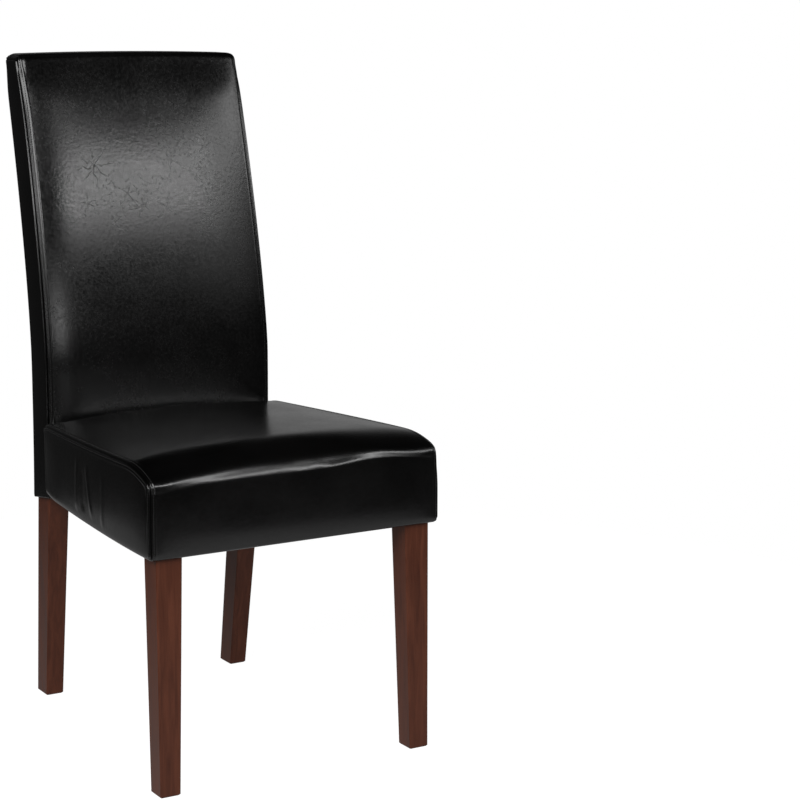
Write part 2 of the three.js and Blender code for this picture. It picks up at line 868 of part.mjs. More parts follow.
function makeSeatBoard() {
  const edge = (y) => sideRailOuterAt(y) - clearance;
  const shoulder = rearLegFace - clearance;
  const tongue = postInnerAt(boardTop) - clearance;
  const right = [
    [edge(frontLegDepth), clearance],
    [edge(frontLegDepth), frontLegDepth],
    [edge(shoulder), shoulder],
    [tongue, shoulder],
    [tongue, rearRailRear],
  ];
  const left = right.map(([x, y]) => [-x, y]).reverse();
  const vents = [-1, 0, 1].flatMap((column) => [-1, 1].map((row) => turned(
    [[0, -overrun], [boardVentRadius, -overrun], [boardVentRadius, overrun], [0, overrun]],
    ventSides,
    new THREE.Vector3(column * boardVentSpacing, (rearLegFace + row * boardVentSpacing) / 2, boardTop),
    down.clone().negate(),
  )));
  const board = prismAlongZ([...right, ...left], boardBottom, boardTop);
  addNode(
    'seat_board',
    geometryOf(withoutEach(board, [...bothSides(boardScrewHoles), ...vents])),
    finishes.plywood,
  );
  boardScrewPlaces.forEach((point, i) => {
    const place = ['front', 'rear'][i];
    addPair(`board_screw_${place}`, screw(boardScrewLength, 0, point, down), finishes.zincSteel);
  });
}

// Seat padding

const coverInside = -(leatherThickness + clearance);

function makeSeatPadding() {
  const inside = seatForm(coverInside - clearance);
  const backSpace = backForm(clearance);
  const wide = seatHalfWidth + overrun;
  const foamBottom = boardTop + clearance;
  const above = boxBetween([-wide, -overrun, foamBottom], [wide, seatRear, overallHeight]);
  addNode('seat_foam', geometryOf(inside.intersect(above).subtract(backSpace)), finishes.foam);

  const frontBand = boxBetween([-wide, -overrun, railBottom], [wide, -clearance, boardTop]);
  addNode('front_edge_pad', geometryOf(inside.intersect(frontBand)), finishes.foam);

  const padRear = seatRear - seatRearCorner / 2;
  const sideBand = prismAlongZ(
    [
      [frontLegOuter + clearance, 0],
      [wide, 0],
      [wide, padRear],
      [sideRailOuterAt(padRear) + clearance, padRear],
      [frontLegOuter + clearance, frontLegDepth],
    ],
    railBottom,
    boardTop,
  );
  addPair('side_edge_pad', inside.intersect(sideBand), finishes.foam);
}

// Seat cover: one panel over the top and down the front, and a panel on each side

// The space outside the seam that runs along a side of the seat.
function seatSideSpace(inset, bottom) {
  const steps = 8;
  const wide = seatHalfWidth + overrun;
  const outline = [
    [seatHalfWidth - inset, -seatFrontOverhang - overrun],
    [wide, -seatFrontOverhang - overrun],
    [wide, seatRear + overrun],
    [seatHalfAt(seatRear) - inset, seatRear + overrun],
  ];
  for (let i = steps; i >= 0; i -= 1) {
    const y = mix(-seatFrontOverhang, seatRear, i / steps);
    outline.push([seatHalfAt(y) - inset, y]);
  }
  return prismAlongZ(outline, bottom, overallHeight);
}

function makeSeatCover() {
  const bottom = seatUnderside - overrun;
  const opening = prismAlongZ(drawnInPlan(turnUnder), bottom, railBottom);
  const rearHalf = sideRailOuterAt(turnUnderRear) + clearance;
  const rearOpening = boxBetween(
    [-rearHalf, turnUnderRear, bottom],
    [rearHalf, seatRear + overrun, seatTopRear - rearTuckDepth],
  );
  const legs = bothSides([frontLegBlank(clearance)]);
  const shell = withoutEach(seatForm(0), [
    seatForm(-leatherThickness),
    opening,
    rearOpening,
    backForm(clearance),
    ...legs,
  ]);

  // The turned-under strip below a side belongs to that side's panel.
  const stripStart = turnUnder - seatFrontOverhang + 2 * clearance;
  const strip = (gap) => boxBetween(
    [seatHalfWidth - seatRearNarrowing - overrun - turnUnder, stripStart - gap, bottom],
    [seatHalfWidth + overrun, seatRear + overrun, railBottom],
  );
  const side = seatSideSpace(seamInset, bottom).add(strip(0));
  const sideAndGap = seatSideSpace(seamInset + clearance, bottom).add(strip(clearance));
  const front = withoutEach(shell, bothSides([sideAndGap]));
  addNode('seat_cover_top_and_front', geometryOf(front), finishes.leather);
  addPair('seat_cover_side', shell.intersect(side), finishes.leather);
}

function makeDustCover() {
  const field = prismAlongZ(
    drawnInPlan(turnUnder + clearance),
    railBottom - clearance - dustCoverThickness,
    railBottom - clearance,
  );
  const tongueHalf = postInnerAt(0) - clearance;
  const tongue = boxBetween(
    [-tongueHalf, turnUnderRear, railBottom - clearance - dustCoverThickness],
    [tongueHalf, rearRailRear, railBottom - clearance],
  );
  const legs = bothSides([frontLegBlank(clearance)]);
  addNode('dust_cover', geometryOf(withoutEach(field.add(tongue), legs)), finishes.dustCloth);
}

// Back frame: three rails between the posts, with a panel in front and one behind

function makeBackRails() {
  for (const rail of backRails) addNode(rail.name, geometryOf(crossRail(rail)), finishes.frameWood);
}

// A sheet that follows the posts: between two distances from a curve of the back.
function curvedSheet(curve, nearOffset, farOffset, half, bottom, top) {
  const heights = heightsBetween(bottom, top);
  const near = heights.map((z) => [curve(z) + nearOffset, z]);
  const far = heights.map((z) => [curve(z) + farOffset, z]);
  return prismAlongX([...near, ...far.reverse()], -half, half);
}

const panelNear = -(supportPanelThickness + clearance);

function makeBackPanels() {
  const wide = backHalfWidth + overrun;
  const sheet = curvedSheet(postFrontAt, panelNear, -clearance, wide, backPadBottom, postTop);
  const core = backForm(-wrap);
  addNode('back_support_panel', geometryOf(sheet.intersect(core)), finishes.plywood);

  const half = postInnerAt(postTop) - clearance;
  const rearSheet = curvedSheet(postRearAt, -rearPanelThickness, 0, half, railBottom, postTop);
  addNode('back_rear_panel', geometryOf(rearSheet), finishes.hardboard);
}

// Back padding: a foam pad in front and over the top, and wadding round the posts

function makeBackPadding() {
  const inside = backForm(coverInside);
  const wide = backHalfWidth + overrun;
  const low = postTop + clearance;
  const behindPanel = curvedSheet(
    postFrontAt, panelNear - clearance, backThickness, wide, backTail - overrun, low,
  );
  const above = boxBetween([-wide, -overrun, backPadBottom], [wide, backWaist + backRake + overrun, overallHeight]);
  addNode('back_foam', geometryOf(inside.subtract(behindPanel).intersect(above)), finishes.foam);

  const behindFoam = curvedSheet(postFrontAt, panelNear, backThickness, wide, railBottom, postTop);
  const core = backForm(coverInside - waddingThickness);
  const wadding = withoutEach(inside.intersect(behindFoam), [core, ...bothSides([rearLeg(clearance)])]);
  addNode('back_wadding', geometryOf(wadding), finishes.wadding);
}

// Back cover: front and top in one panel, two side panels and a rear panel

// The space outside the seams at a side of the back, seen from in front.
function backSideSpace(inset) {
  const top = overallHeight + overrun;
  const wide = backHalfWidth + overrun;
  const outline = [
    [backHalfWidth - inset, backTail - overrun],
    [wide, backTail - overrun],
    [wide, top],
    [backHalfAt(top) - inset, top],
    [backHalfWidth - inset, backBend],
  ];
  return prismAlongY(outline, 0, backWaist + backRake + overrun);
}

// The space behind the seam that runs round the rear face, with a gap along that seam.
function backRearSpace(gap) {
  const wide = backHalfWidth + overrun;
  const top = overallHeight - backTopCrown - seamInset + gap;
  return curvedSheet(backRearAt, -seamInset - gap, overrun, wide, backTail - overrun, top);
}

function makeBackCover() {
  const wide = backHalfWidth + overrun;
  const front = backFrontAt(backTail) - overrun;
  const rear = backWaist + backRake + overrun;
  const hem = prismAlongX(
    [
      [front, backBottom],
      [backFrontAt(backTail), backBottom],
      [backRearAt(backTail), backTail],
      [rear, backTail],
      [rear, overallHeight + overrun],
      [front - backCrown, overallHeight + overrun],
    ],
    -wide,
    wide,
  );
  const shell = backForm(0).subtract(backForm(-leatherThickness)).intersect(hem);
  const sideSpaces = bothSides([backSideSpace(seamInset + clearance)]);
  const between = withoutEach(shell, sideSpaces);
  const above = boxBetween([-wide, front - backCrown, backPadBottom], [wide, rear, overallHeight + overrun]);
  const frontPanel = between.subtract(backRearSpace(clearance)).intersect(above);
  addNode('back_cover_front', geometryOf(frontPanel), finishes.leather);
  addNode('back_cover_rear', geometryOf(between.intersect(backRearSpace(0))), finishes.leather);
  addPair('back_cover_side', shell.intersect(backSideSpace(seamInset)), finishes.leather);
}

makeLegs();
makeRails();
makeCornerBlocks();
makeFrameFasteners();
makeSeatBoard();
makeSeatPadding();
makeSeatCover();
makeDustCover();
makeBackRails();
makeBackPanels();
makeBackPadding();
makeBackCover();

// The chair stands with the middle of its depth over the origin.
const bounds = new THREE.Box3().setFromObject(chair);
chair.position.y = -(bounds.min.y + bounds.max.y) / 2;

export default chair;
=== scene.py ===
import json
import math
from collections import namedtuple

import bmesh
import bpy
import numpy as np
from mathutils import Matrix, Vector
from mathutils.bvhtree import BVHTree


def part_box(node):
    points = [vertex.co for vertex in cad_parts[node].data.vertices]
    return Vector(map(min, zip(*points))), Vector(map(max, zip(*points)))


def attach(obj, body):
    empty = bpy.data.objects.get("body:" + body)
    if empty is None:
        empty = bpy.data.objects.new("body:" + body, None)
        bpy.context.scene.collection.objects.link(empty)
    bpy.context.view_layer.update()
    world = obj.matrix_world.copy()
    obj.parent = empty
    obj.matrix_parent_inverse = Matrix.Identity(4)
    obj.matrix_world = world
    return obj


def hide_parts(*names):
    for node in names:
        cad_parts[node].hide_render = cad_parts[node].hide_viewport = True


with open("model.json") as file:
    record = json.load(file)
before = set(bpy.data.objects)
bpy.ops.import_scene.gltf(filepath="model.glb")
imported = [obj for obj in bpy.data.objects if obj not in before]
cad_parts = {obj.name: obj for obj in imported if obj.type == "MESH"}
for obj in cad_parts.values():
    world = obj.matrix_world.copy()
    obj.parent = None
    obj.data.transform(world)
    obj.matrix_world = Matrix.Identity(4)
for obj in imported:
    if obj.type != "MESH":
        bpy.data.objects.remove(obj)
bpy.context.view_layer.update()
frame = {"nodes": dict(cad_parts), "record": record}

# A parsons chair in black leather on dark stained legs. Metres, +Z up, the chair faces -Y.

# Sizes that come from the frame, and how far the soft covers swell past it

SEAT_SWELL = 0.0012
SEAT_SAG = 0.0015
SEAT_DEPTH = 0.449
BACK_SWELL = 0.0026

LEG_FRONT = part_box("front_leg_left")[0].y
SEAT_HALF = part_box("seat_cover_side_right")[1].x + SEAT_SWELL
SEAT_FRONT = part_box("seat_cover_top_and_front")[0].y
SEAT_REAR = LEG_FRONT + SEAT_DEPTH
SEAT_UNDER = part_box("seat_cover_side_right")[0].z - SEAT_SAG
BACK_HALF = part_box("back_cover_side_right")[1].x + BACK_SWELL
BACK_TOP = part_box("back_cover_front")[1].z
BACK_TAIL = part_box("back_cover_rear")[0].z

# Sizes of the seat's upholstery

SEAT_TOP_FRONT = 0.4714
SEAT_TOP_REAR = 0.454
SEAT_CROWN = 0.012
SEAT_FALL_START = SEAT_FRONT + 0.082
SEAT_NARROWING = 0.0315
SEAT_NARROWING_START = LEG_FRONT + 0.020
SEAT_NARROWING_POWER = 1.55
SEAT_REAR_CORNER = 0.013
SEAT_EDGE = 0.011
SEAT_FRONT_EDGE = 0.008
SEAT_CORNER_EDGE = 0.013
CORNER_EDGE_FROM_SHARE = 0.75
FRONT_EDGE_BY_SHARE = 0.45
WALL_BLEND = 0.040
SEAT_BOTTOM_ROLL = 0.006
SEAT_REAR_BOTTOM_ROLL = 0.012
REAR_BOTTOM_ROLL_REACH = 0.055
SEAT_TUCK = 0.004
SEAT_TUCK_REACH = 0.022
TURN_UNDER = 0.018
LEAST_REAR_CORNER = 0.001
LEAST_FRONT_CORNER = 0.0006
ROLL_PLACES = (-0.2285, -0.160, -0.085, -0.010, 0.065, 0.115, 0.150, 0.185, 0.2285)
ROLL_RADII = (0.018, 0.018, 0.022, 0.024, 0.022, 0.015, 0.011, 0.012, 0.020)
ROLL_TOPS = (0.4546, 0.4626, 0.4684, 0.4694, 0.4689, 0.4678, 0.4626, 0.4585, 0.4603)
ROLL_FLATS = (0.006, 0.005, 0.005, 0.005, 0.005, 0.005, 0.004, 0.004, 0.006)
ROLL_FLAT_ANGLES = (81, 74, 68, 68, 68, 74, 79, 80, 82)
ROLL_BLEND = 0.022
ROLL_FIRST_GUESS = 0.3
ROLL_ROUNDS = 6

# Sizes of the back's upholstery

BACK_THICKNESS = 0.0625
BACK_WAIST = LEG_FRONT + 0.5065
BACK_BEND = 0.540
BACK_RAKE = 0.093
BACK_RAKE_POWER = 1.4
BACK_TAIL_KICK = 0.006
BACK_NARROWING = 0.0056
BACK_CROWN = 0.0105
BACK_CROWN_POWER = 6
BACK_CROWN_FOOT = 0.405
BACK_CROWN_RISE = 0.050
BACK_CROWN_TOP_FADE = 0.070
BACK_CROWN_TOP_SHARE = 0.45
BACK_TOP_CROWN = 0.003
BACK_TOP_LEAN = 0.0022
BACK_TOP_MARGIN = 0.0003
BACK_TOP_RISE = 0.060
BACK_HEM_DROP = 0.008
BACK_FRONT_EDGE = 0.0075
BACK_TOP_EDGE = 0.012
BACK_REAR_TOP_EDGE = 0.0135
BACK_REAR_EDGE = 0.007
TOP_EDGE_FROM_SHARE = 0.93
BACK_OPEN_BELOW = 0.400
BACK_SKIRT = 0.009
BACK_SKIRT_TOP = 0.445
BACK_SKIRT_RISE = 0.040
HEM_FOLD = 0.0015
HEM_DEPTH = 0.012
HEM_STEPS = ((0.0, -0.0006), (0.0009, -0.0012), (HEM_FOLD, -0.0004), (HEM_FOLD, HEM_DEPTH))

# Seams

SEAM_GROOVE = 0.0009
SEAM_GROOVE_WIDTH = 0.0008
SEAM_RIDGE = 0.0007
SEAM_RIDGE_PLACE = 0.0023
SEAM_RIDGE_WIDTH = 0.0011
REAR_RIDGE_SHARE = 0.6
REAR_RIDGE_WIDTH_SHARE = 1.2
STITCH_PLACE = 0.0042
STITCH_DENT = 0.0003
STITCH_DENT_WIDTH = 0.0007
SEAM_BAND = 0.0006
SEAM_BAND_START = 0.0015
SEAM_BAND_END = 0.0078
SEAM_BAND_EDGE = 0.0024
SEAM_FADE_START = 0.001
SEAM_FADE = 0.004
BACK_STITCH_PLACE = 0.0060
BACK_STRIP_MARGIN = 0.0022
BACK_BAND_END = 0.0094
BACK_BAND_SINK = 0.0023
BACK_BAND_FADE = (0.013, 0.014)
BACK_WALL_SINK_WIDTH = 0.0036
STITCH_PITCH = 0.0037
STITCH_LENGTH = 0.0024
SEAT_STITCHES_END = LEG_FRONT + 0.440
BACK_STITCHES_START = 0.425
SEAM_TURN = math.radians(45)
SEAM_TURN_AT_TOP = math.radians(72)
SEAM_LEAN_FROM_SHARE = 0.86
THREAD_RADIUS = 0.00048
THREAD_RISE_SHARE = 1.3
THREAD_SINK_SHARE = 0.6
THREAD_END_SHARE = 0.55

# Places along the covers' profiles, as shares, and the columns across them

TOP_SHARES = np.concatenate([
    [0, 0.0009, 0.0035, 0.0085, 0.0155, 0.0235, 0.032],
    np.linspace(0.054, 1, 38),
])
ROLL_SHARES = np.linspace(0, 1, 13)[1:]
WALL_SHARES = np.linspace(0, 1, 10)
FRONT_SHARES = WALL_SHARES[1:]
UP_SHARES = np.concatenate([np.linspace(0, 1, 55)[:-1] ** 0.97 * 0.982, [0.9835, 0.990, 0.9955, 1.0]])
OVER_SHARES = np.array([0, 0.06, 0.15, 0.3, 0.5, 0.7, 0.85, 0.94, 1.0])
CORNER_SHARES = np.linspace(0, 1, 6)
EDGE_SHARES = np.linspace(0, 1, 6)
BAND_WIDTHS = np.array([0.0020, 0.0044, 0.0080, 0.0130, 0.0200, 0.0290])
SEAT_MIDDLE_COLUMNS = 35
BACK_MIDDLE_COLUMNS = 30
HEM_ANGLES = (math.pi / 6, math.pi / 3, math.pi / 2)
HEM_SHARES = (0.4, 1.0)

# How far from the seams the cloth simulation holds the covers, and the rows that lie hidden or round the top

SEAT_HELD_WIDTH = 0.006
BACK_HELD_WIDTH = 0.0068
BACK_WALL_HELD_WIDTH = 0.004
SEAT_TUCKED_ROWS = 8
SEAT_TUCKED_WALL_COLUMNS = 7
BACK_HELD_ROWS = 3
FAR_FROM_SEAM = 0.1

# Steps that slopes are measured over, and the distance within which points are one

SLOPE_STEP = 0.0005
BACK_SLOPE_STEP = 0.001
WELD = 0.00002


def mix(a, b, share):
    return a + (b - a) * share


def smooth(share):
    t = np.clip(share, 0, 1)
    return t * t * (3 - 2 * t)


def bump(distance, place, width):
    return np.exp(-(((distance - place) / width) ** 2))


def stack(x, y, z):
    return np.stack(np.broadcast_arrays(x, y, z), axis=-1).astype(float)


# Meshes made of grids of points


class Skin:
    """Grids of points that are welded into one mesh. Each point keeps values that its grid gives it."""

    def __init__(self, value_names):
        self.value_names = value_names
        self.points = []
        self.values = []
        self.faces = []
        self.panels = []
        self.count = 0

    def grid(self, points, panel, **values):
        rows, columns = points.shape[:2]
        self.points.append(points.reshape(-1, 3))
        spread = [np.broadcast_to(values[name], (rows, columns)).reshape(-1) for name in self.value_names]
        self.values.append(np.stack(spread, axis=1))
        index = self.count + np.arange(rows * columns).reshape(rows, columns)
        quads = np.stack([index[:-1, :-1], index[:-1, 1:], index[1:, 1:], index[1:, :-1]], axis=-1)
        quads = quads.reshape(-1, 4)
        self.faces.append(quads)
        self.panels.append(np.full(len(quads), panel))
        self.count += rows * columns

    def build(self, name):
        points = np.concatenate(self.points)
        values = np.concatenate(self.values)
        faces = np.concatenate(self.faces)
        panels = np.concatenate(self.panels)
        keys = np.round(points / WELD).astype(np.int64)
        _, first, inverse = np.unique(keys, axis=0, return_index=True, return_inverse=True)
        kept_faces, kept_panels = [], []
        for quad, panel in zip(inverse.reshape(-1)[faces], panels):
            corners = [int(v) for k, v in enumerate(quad) if v != quad[k - 1]]
            if len(set(corners)) == len(corners) and len(corners) > 2:
                kept_faces.append(corners)
                kept_panels.append(int(panel))
        mesh = bpy.data.meshes.new(name)
        mesh.from_pydata(points[first].tolist(), [], kept_faces)
        for column, value_name in enumerate(self.value_names):
            attribute = mesh.attributes.new(value_name, "FLOAT", "POINT")
            attribute.data.foreach_set("value", values[first, column].astype(np.float32))
        attribute = mesh.attributes.new("panel", "INT", "FACE")
        attribute.data.foreach_set("value", kept_panels)
        face_turner = bmesh.new()
        face_turner.from_mesh(mesh)
        bmesh.ops.recalc_face_normals(face_turner, faces=face_turner.faces)
        face_turner.to_mesh(mesh)
        face_turner.free()
        return placed(name, mesh)


def placed(name, data):
    """A new object in the scene, from a mesh, a light or a camera."""
    obj = bpy.data.objects.new(name, data)
    bpy.context.scene.collection.objects.link(obj)
    return obj


def read(items, key, width=1, kind=np.float32):
    """A value of each of a mesh's vertices, edges, loops or faces."""
    flat = np.empty(len(items) * width, kind)
    items.foreach_get(key, flat)
    return flat.reshape(-1, width) if width > 1 else flat


def coordinates(mesh):
    return read(mesh.vertices, "co", 3).astype(float)


def vertex_values(mesh, name):
    return read(mesh.attributes[name].data, "value").astype(float)


def quads_of(mesh):
    return read(mesh.loops, "vertex_index", kind=np.int32).reshape(-1, 4)


def set_coordinates(mesh, points):
    mesh.vertices.foreach_set("co", points.astype(np.float32).ravel())
    mesh.update()


def path_length(points):
    steps = np.linalg.norm(np.diff(points, axis=0), axis=1)
    return np.concatenate([[0], np.cumsum(steps)])


def nearest_distance(points, path, offsets):
    """Least distance of each point to a polyline, on top of an offset that is given at its corners."""
    flat = points.reshape(-1, points.shape[-1])
    best = np.full(len(flat), np.inf)
    for k in range(len(path) - 1):
        along = path[k + 1] - path[k]
        length = float(along @ along)
        if length == 0:
            continue
        share = np.clip((flat - path[k]) @ along / length, 0, 1)
        foot = path[k] + share[:, None] * along
        reach = np.linalg.norm(flat - foot, axis=1) + mix(offsets[k], offsets[k + 1], share)
        best = np.minimum(best, reach)
    return best.reshape(points.shape[:-1])


# A cover is a strip along the middle and a wall on each side, with a rounded edge and a seam between them.
# Its stations go along the strip's profile. seam_turn is the seam's place on the rounding, 0 on the strip.

Cover = namedtuple("Cover", "stations strip_point half_of edge_radius seam_turn middle_columns")


def fillet(cover, station, side, turn):
    """A point on the rounded edge between strip and wall; turn goes from 0 on the strip to 90 degrees."""
    radius = cover.edge_radius(station)
    x = cover.half_of(station, side) - radius + radius * math.sin(turn)
    y, z, normal_y, normal_z = (float(v) for v in cover.strip_point(station, np.array(side * x)))
    drop = radius * (1 - math.cos(turn))
    return np.array([side * x, y - drop * normal_y, z - drop * normal_z])


def strip_of(cover):
    """Rows of points across the strip from seam to seam, and their distances from the nearer seam."""
    rows, seams = [], []
    for station in cover.stations:
        turn = cover.seam_turn(station)
        halves = []
        for side in (-1, 1):
            edge = [fillet(cover, station, side, turn * (1 - share)) for share in EDGE_SHARES]
            x = side * (abs(edge[-1][0]) - BAND_WIDTHS)
            y, z, _, _ = cover.strip_point(station, x)
            halves.append(np.concatenate([edge, stack(x, y, z)]))
        left, right = halves
        x = np.linspace(left[-1, 0], right[-1, 0], cover.middle_columns + 2)[1:-1]
        y, z, _, _ = cover.strip_point(station, x)
        rows.append(np.concatenate([left, stack(x, y, z), right[::-1]]))
        edge_reach = cover.edge_radius(station) * turn
        near = np.concatenate([EDGE_SHARES * edge_reach, edge_reach + BAND_WIDTHS])
        middle = near[-1] + (x - left[-1, 0])
        seams.append(np.concatenate([near, np.minimum(middle, middle[::-1]), near[::-1]]))
    return np.array(rows), np.array(seams)


def wall_edge_of(cover, side):
    """Points of the rounded edge from the seam to the wall, and their distances from the seam."""
    points, seams = [], []
    for station in cover.stations:
        turn = cover.seam_turn(station)
        points.append([fillet(cover, station, side, mix(turn, math.pi / 2, share)) for share in EDGE_SHARES])
        seams.append(EDGE_SHARES * cover.edge_radius(station) * (math.pi / 2 - turn))
    return np.array(points), np.array(seams)


# The seat: a strip over the top and down the front, and a wall on each side


def seat_half_at(y, inset=0.0):
    run = np.maximum(0, (y - SEAT_NARROWING_START) / (SEAT_REAR - SEAT_NARROWING_START))
    half = SEAT_HALF - SEAT_NARROWING * run**SEAT_NARROWING_POWER - inset
    corner = np.maximum(SEAT_REAR_CORNER - inset, LEAST_REAR_CORNER)
    into = np.clip((y - (SEAT_REAR - inset - corner)) / corner, 0, 1)
    return half - corner * (1 - np.sqrt(1 - into**2))


def roll_value(values, x):
    """A value of the front roll at a place across the seat, evened out over the width of a blend."""
    shifts_and_weights = ((-1, 1), (-0.5, 2), (0, 2), (0.5, 2), (1, 1))
    total = 0
    for shift, weight in shifts_and_weights:
        total = total + weight * np.interp(x + shift * ROLL_BLEND, ROLL_PLACES, values)
    return total / sum(weight for _, weight in shifts_and_weights)


def seat_level_at(x, y):
    """Height of the seat's top before it falls away towards the front."""
    along = (y - SEAT_FRONT) / (SEAT_REAR - SEAT_FRONT)
    across = x / seat_half_at(np.minimum(y, SEAT_REAR - SEAT_REAR_CORNER))
    return mix(SEAT_TOP_FRONT, SEAT_TOP_REAR, along) + SEAT_CROWN * (1 - across**2)


def front_roll_at(x):
    """Radius of the front roll, the angle and the place that it starts at, and the fall down to it."""
    radius = roll_value(ROLL_RADII, x)
    flat_angle = np.radians(roll_value(ROLL_FLAT_ANGLES, x))
    flat_reach = roll_value(ROLL_FLATS, x) * np.cos(flat_angle)
    angle = ROLL_FIRST_GUESS + 0 * radius
    for _ in range(ROLL_ROUNDS):
        start = SEAT_FRONT + radius * (1 - np.sin(angle)) + flat_reach
        fall = seat_level_at(x, start) - roll_value(ROLL_TOPS, x)
        rise = seat_level_at(x, start + SLOPE_STEP) - seat_level_at(x, start - SLOPE_STEP)
        angle = np.arctan(2 * fall / (SEAT_FALL_START - start) + rise / (2 * SLOPE_STEP))
    return radius, angle, start, fall


def seat_top_at(x, y):
    _, _, start, fall = front_roll_at(x)
    share = np.maximum(0, (SEAT_FALL_START - y) / (SEAT_FALL_START - start))
    across = np.abs(x / BACK_HALF).clip(0, 1)
    back_face = BACK_WAIST - BACK_THICKNESS - BACK_CROWN * (1 - across**BACK_CROWN_POWER)
    gap = np.clip((back_face - y) / SEAT_TUCK_REACH, 0, 1)
    return seat_level_at(x, y) - fall * share**2 - SEAT_TUCK * (1 - gap) ** 2


def seat_strip_point(station, x):
    """Point and outward normal in the (y, z) plane of the seat's strip, at a station of its profile."""
    kind, share = station
    radius, first, start, _ = front_roll_at(x)
    zero = np.zeros_like(x)
    if kind == "top":
        y = mix(SEAT_REAR, start, share)
        slope = (seat_top_at(x, y + SLOPE_STEP) - seat_top_at(x, y - SLOPE_STEP)) / (2 * SLOPE_STEP)
        length = np.sqrt(1 + slope**2)
        return y, seat_top_at(x, y), -slope / length, 1 / length
    flat = roll_value(ROLL_FLATS, x)
    flat_angle = np.radians(roll_value(ROLL_FLAT_ANGLES, x))
    centre_z = seat_top_at(x, start) - radius * np.cos(first) - flat * np.sin(flat_angle)
    if kind == "roll":
        upper = (flat_angle - first) * radius
        lower = (math.pi / 2 - flat_angle) * radius
        reach = share * (upper + flat + lower)
        angle = first + (np.clip(reach, 0, upper) + np.clip(reach - upper - flat, 0, lower)) / radius
        left = flat - np.clip(reach - upper, 0, flat)
        out, up = np.sin(angle), np.cos(angle)
        y = SEAT_FRONT + radius * (1 - out) + left * np.cos(flat_angle)
        return y, centre_z + radius * up + left * np.sin(flat_angle), -out, up
    z = mix(centre_z, SEAT_UNDER + SEAT_BOTTOM_ROLL, share)
    return zero + SEAT_FRONT, z, zero - 1, zero


def seat_edge_radius(station):
    kind, share = station
    if kind == "top":
        near_front = (share - CORNER_EDGE_FROM_SHARE) / (1 - CORNER_EDGE_FROM_SHARE)
        return mix(SEAT_EDGE, SEAT_CORNER_EDGE, smooth(near_front))
    if kind == "roll":
        return SEAT_CORNER_EDGE
    return mix(SEAT_CORNER_EDGE, SEAT_FRONT_EDGE, smooth(share / FRONT_EDGE_BY_SHARE))


def seat_half_of(station, side):
    y, _, normal_y, _ = seat_strip_point(station, np.array(side * SEAT_HALF))
    return float(seat_half_at(y - seat_edge_radius(station) * normal_y))


def seat_seam_turn(station):
    """The seat's seam lies at the same place on the rounded edge at every station."""
    return SEAM_TURN


SEAT = Cover(
    [("top", s) for s in TOP_SHARES]
    + [("roll", s) for s in ROLL_SHARES]
    + [("front", s) for s in FRONT_SHARES],
    seat_strip_point,
    seat_half_of,
    seat_edge_radius,
    seat_seam_turn,
    SEAT_MIDDLE_COLUMNS,
)


def rear_bottom_roll(y):
    near_rear = smooth((y - (SEAT_REAR - REAR_BOTTOM_ROLL_REACH)) / REAR_BOTTOM_ROLL_REACH)
    return mix(SEAT_BOTTOM_ROLL, SEAT_REAR_BOTTOM_ROLL, near_rear)


IN_FRONT = -1.0
ON_WALL = 9.0


def drawn_in(x, y, turn, inset):
    """Plan points of the hem, drawn in by a distance. turn is the angle round a corner, or names a side."""
    corner = np.maximum(SEAT_FRONT_EDGE - inset, LEAST_FRONT_CORNER)
    side = np.sign(x)
    centre_x = SEAT_HALF - inset - corner
    centre_y = SEAT_FRONT + inset + corner
    front_x = x * centre_x / (SEAT_HALF - SEAT_FRONT_EDGE)
    span = SEAT_REAR - (SEAT_FRONT + SEAT_FRONT_EDGE)
    wall_y = centre_y + (y - SEAT_FRONT - SEAT_FRONT_EDGE) * (SEAT_REAR - inset - centre_y) / span
    wall_x = side * seat_half_at(wall_y, inset)
    corner_x = side * (centre_x + corner * np.sin(turn))
    corner_y = centre_y - corner * np.cos(turn)
    sides = [turn == IN_FRONT, turn == ON_WALL]
    drawn_x = np.select(sides, [front_x, wall_x], corner_x)
    drawn_y = np.select(sides, [SEAT_FRONT + inset, wall_y], corner_y)
    return drawn_x, drawn_y


def seat_hem(line, turn):
    """Rows that roll a panel's lower edge under the seat, from the line where its wall ends."""
    roll = rear_bottom_roll(line[:, 1])
    steps = [(roll * (1 - math.cos(angle)), roll * (1 - math.sin(angle))) for angle in HEM_ANGLES]
    steps += [(mix(roll, TURN_UNDER, share), 0) for share in HEM_SHARES]
    rows = [line]
    for inset, rise in steps:
        x, y = drawn_in(line[:, 0], line[:, 1], turn, inset)
        rows.append(stack(x, y, SEAT_UNDER + rise))
    return np.array(rows)


SEAT_STRIP, SEAT_WALL_LEFT, SEAT_WALL_RIGHT = 0, 1, 2


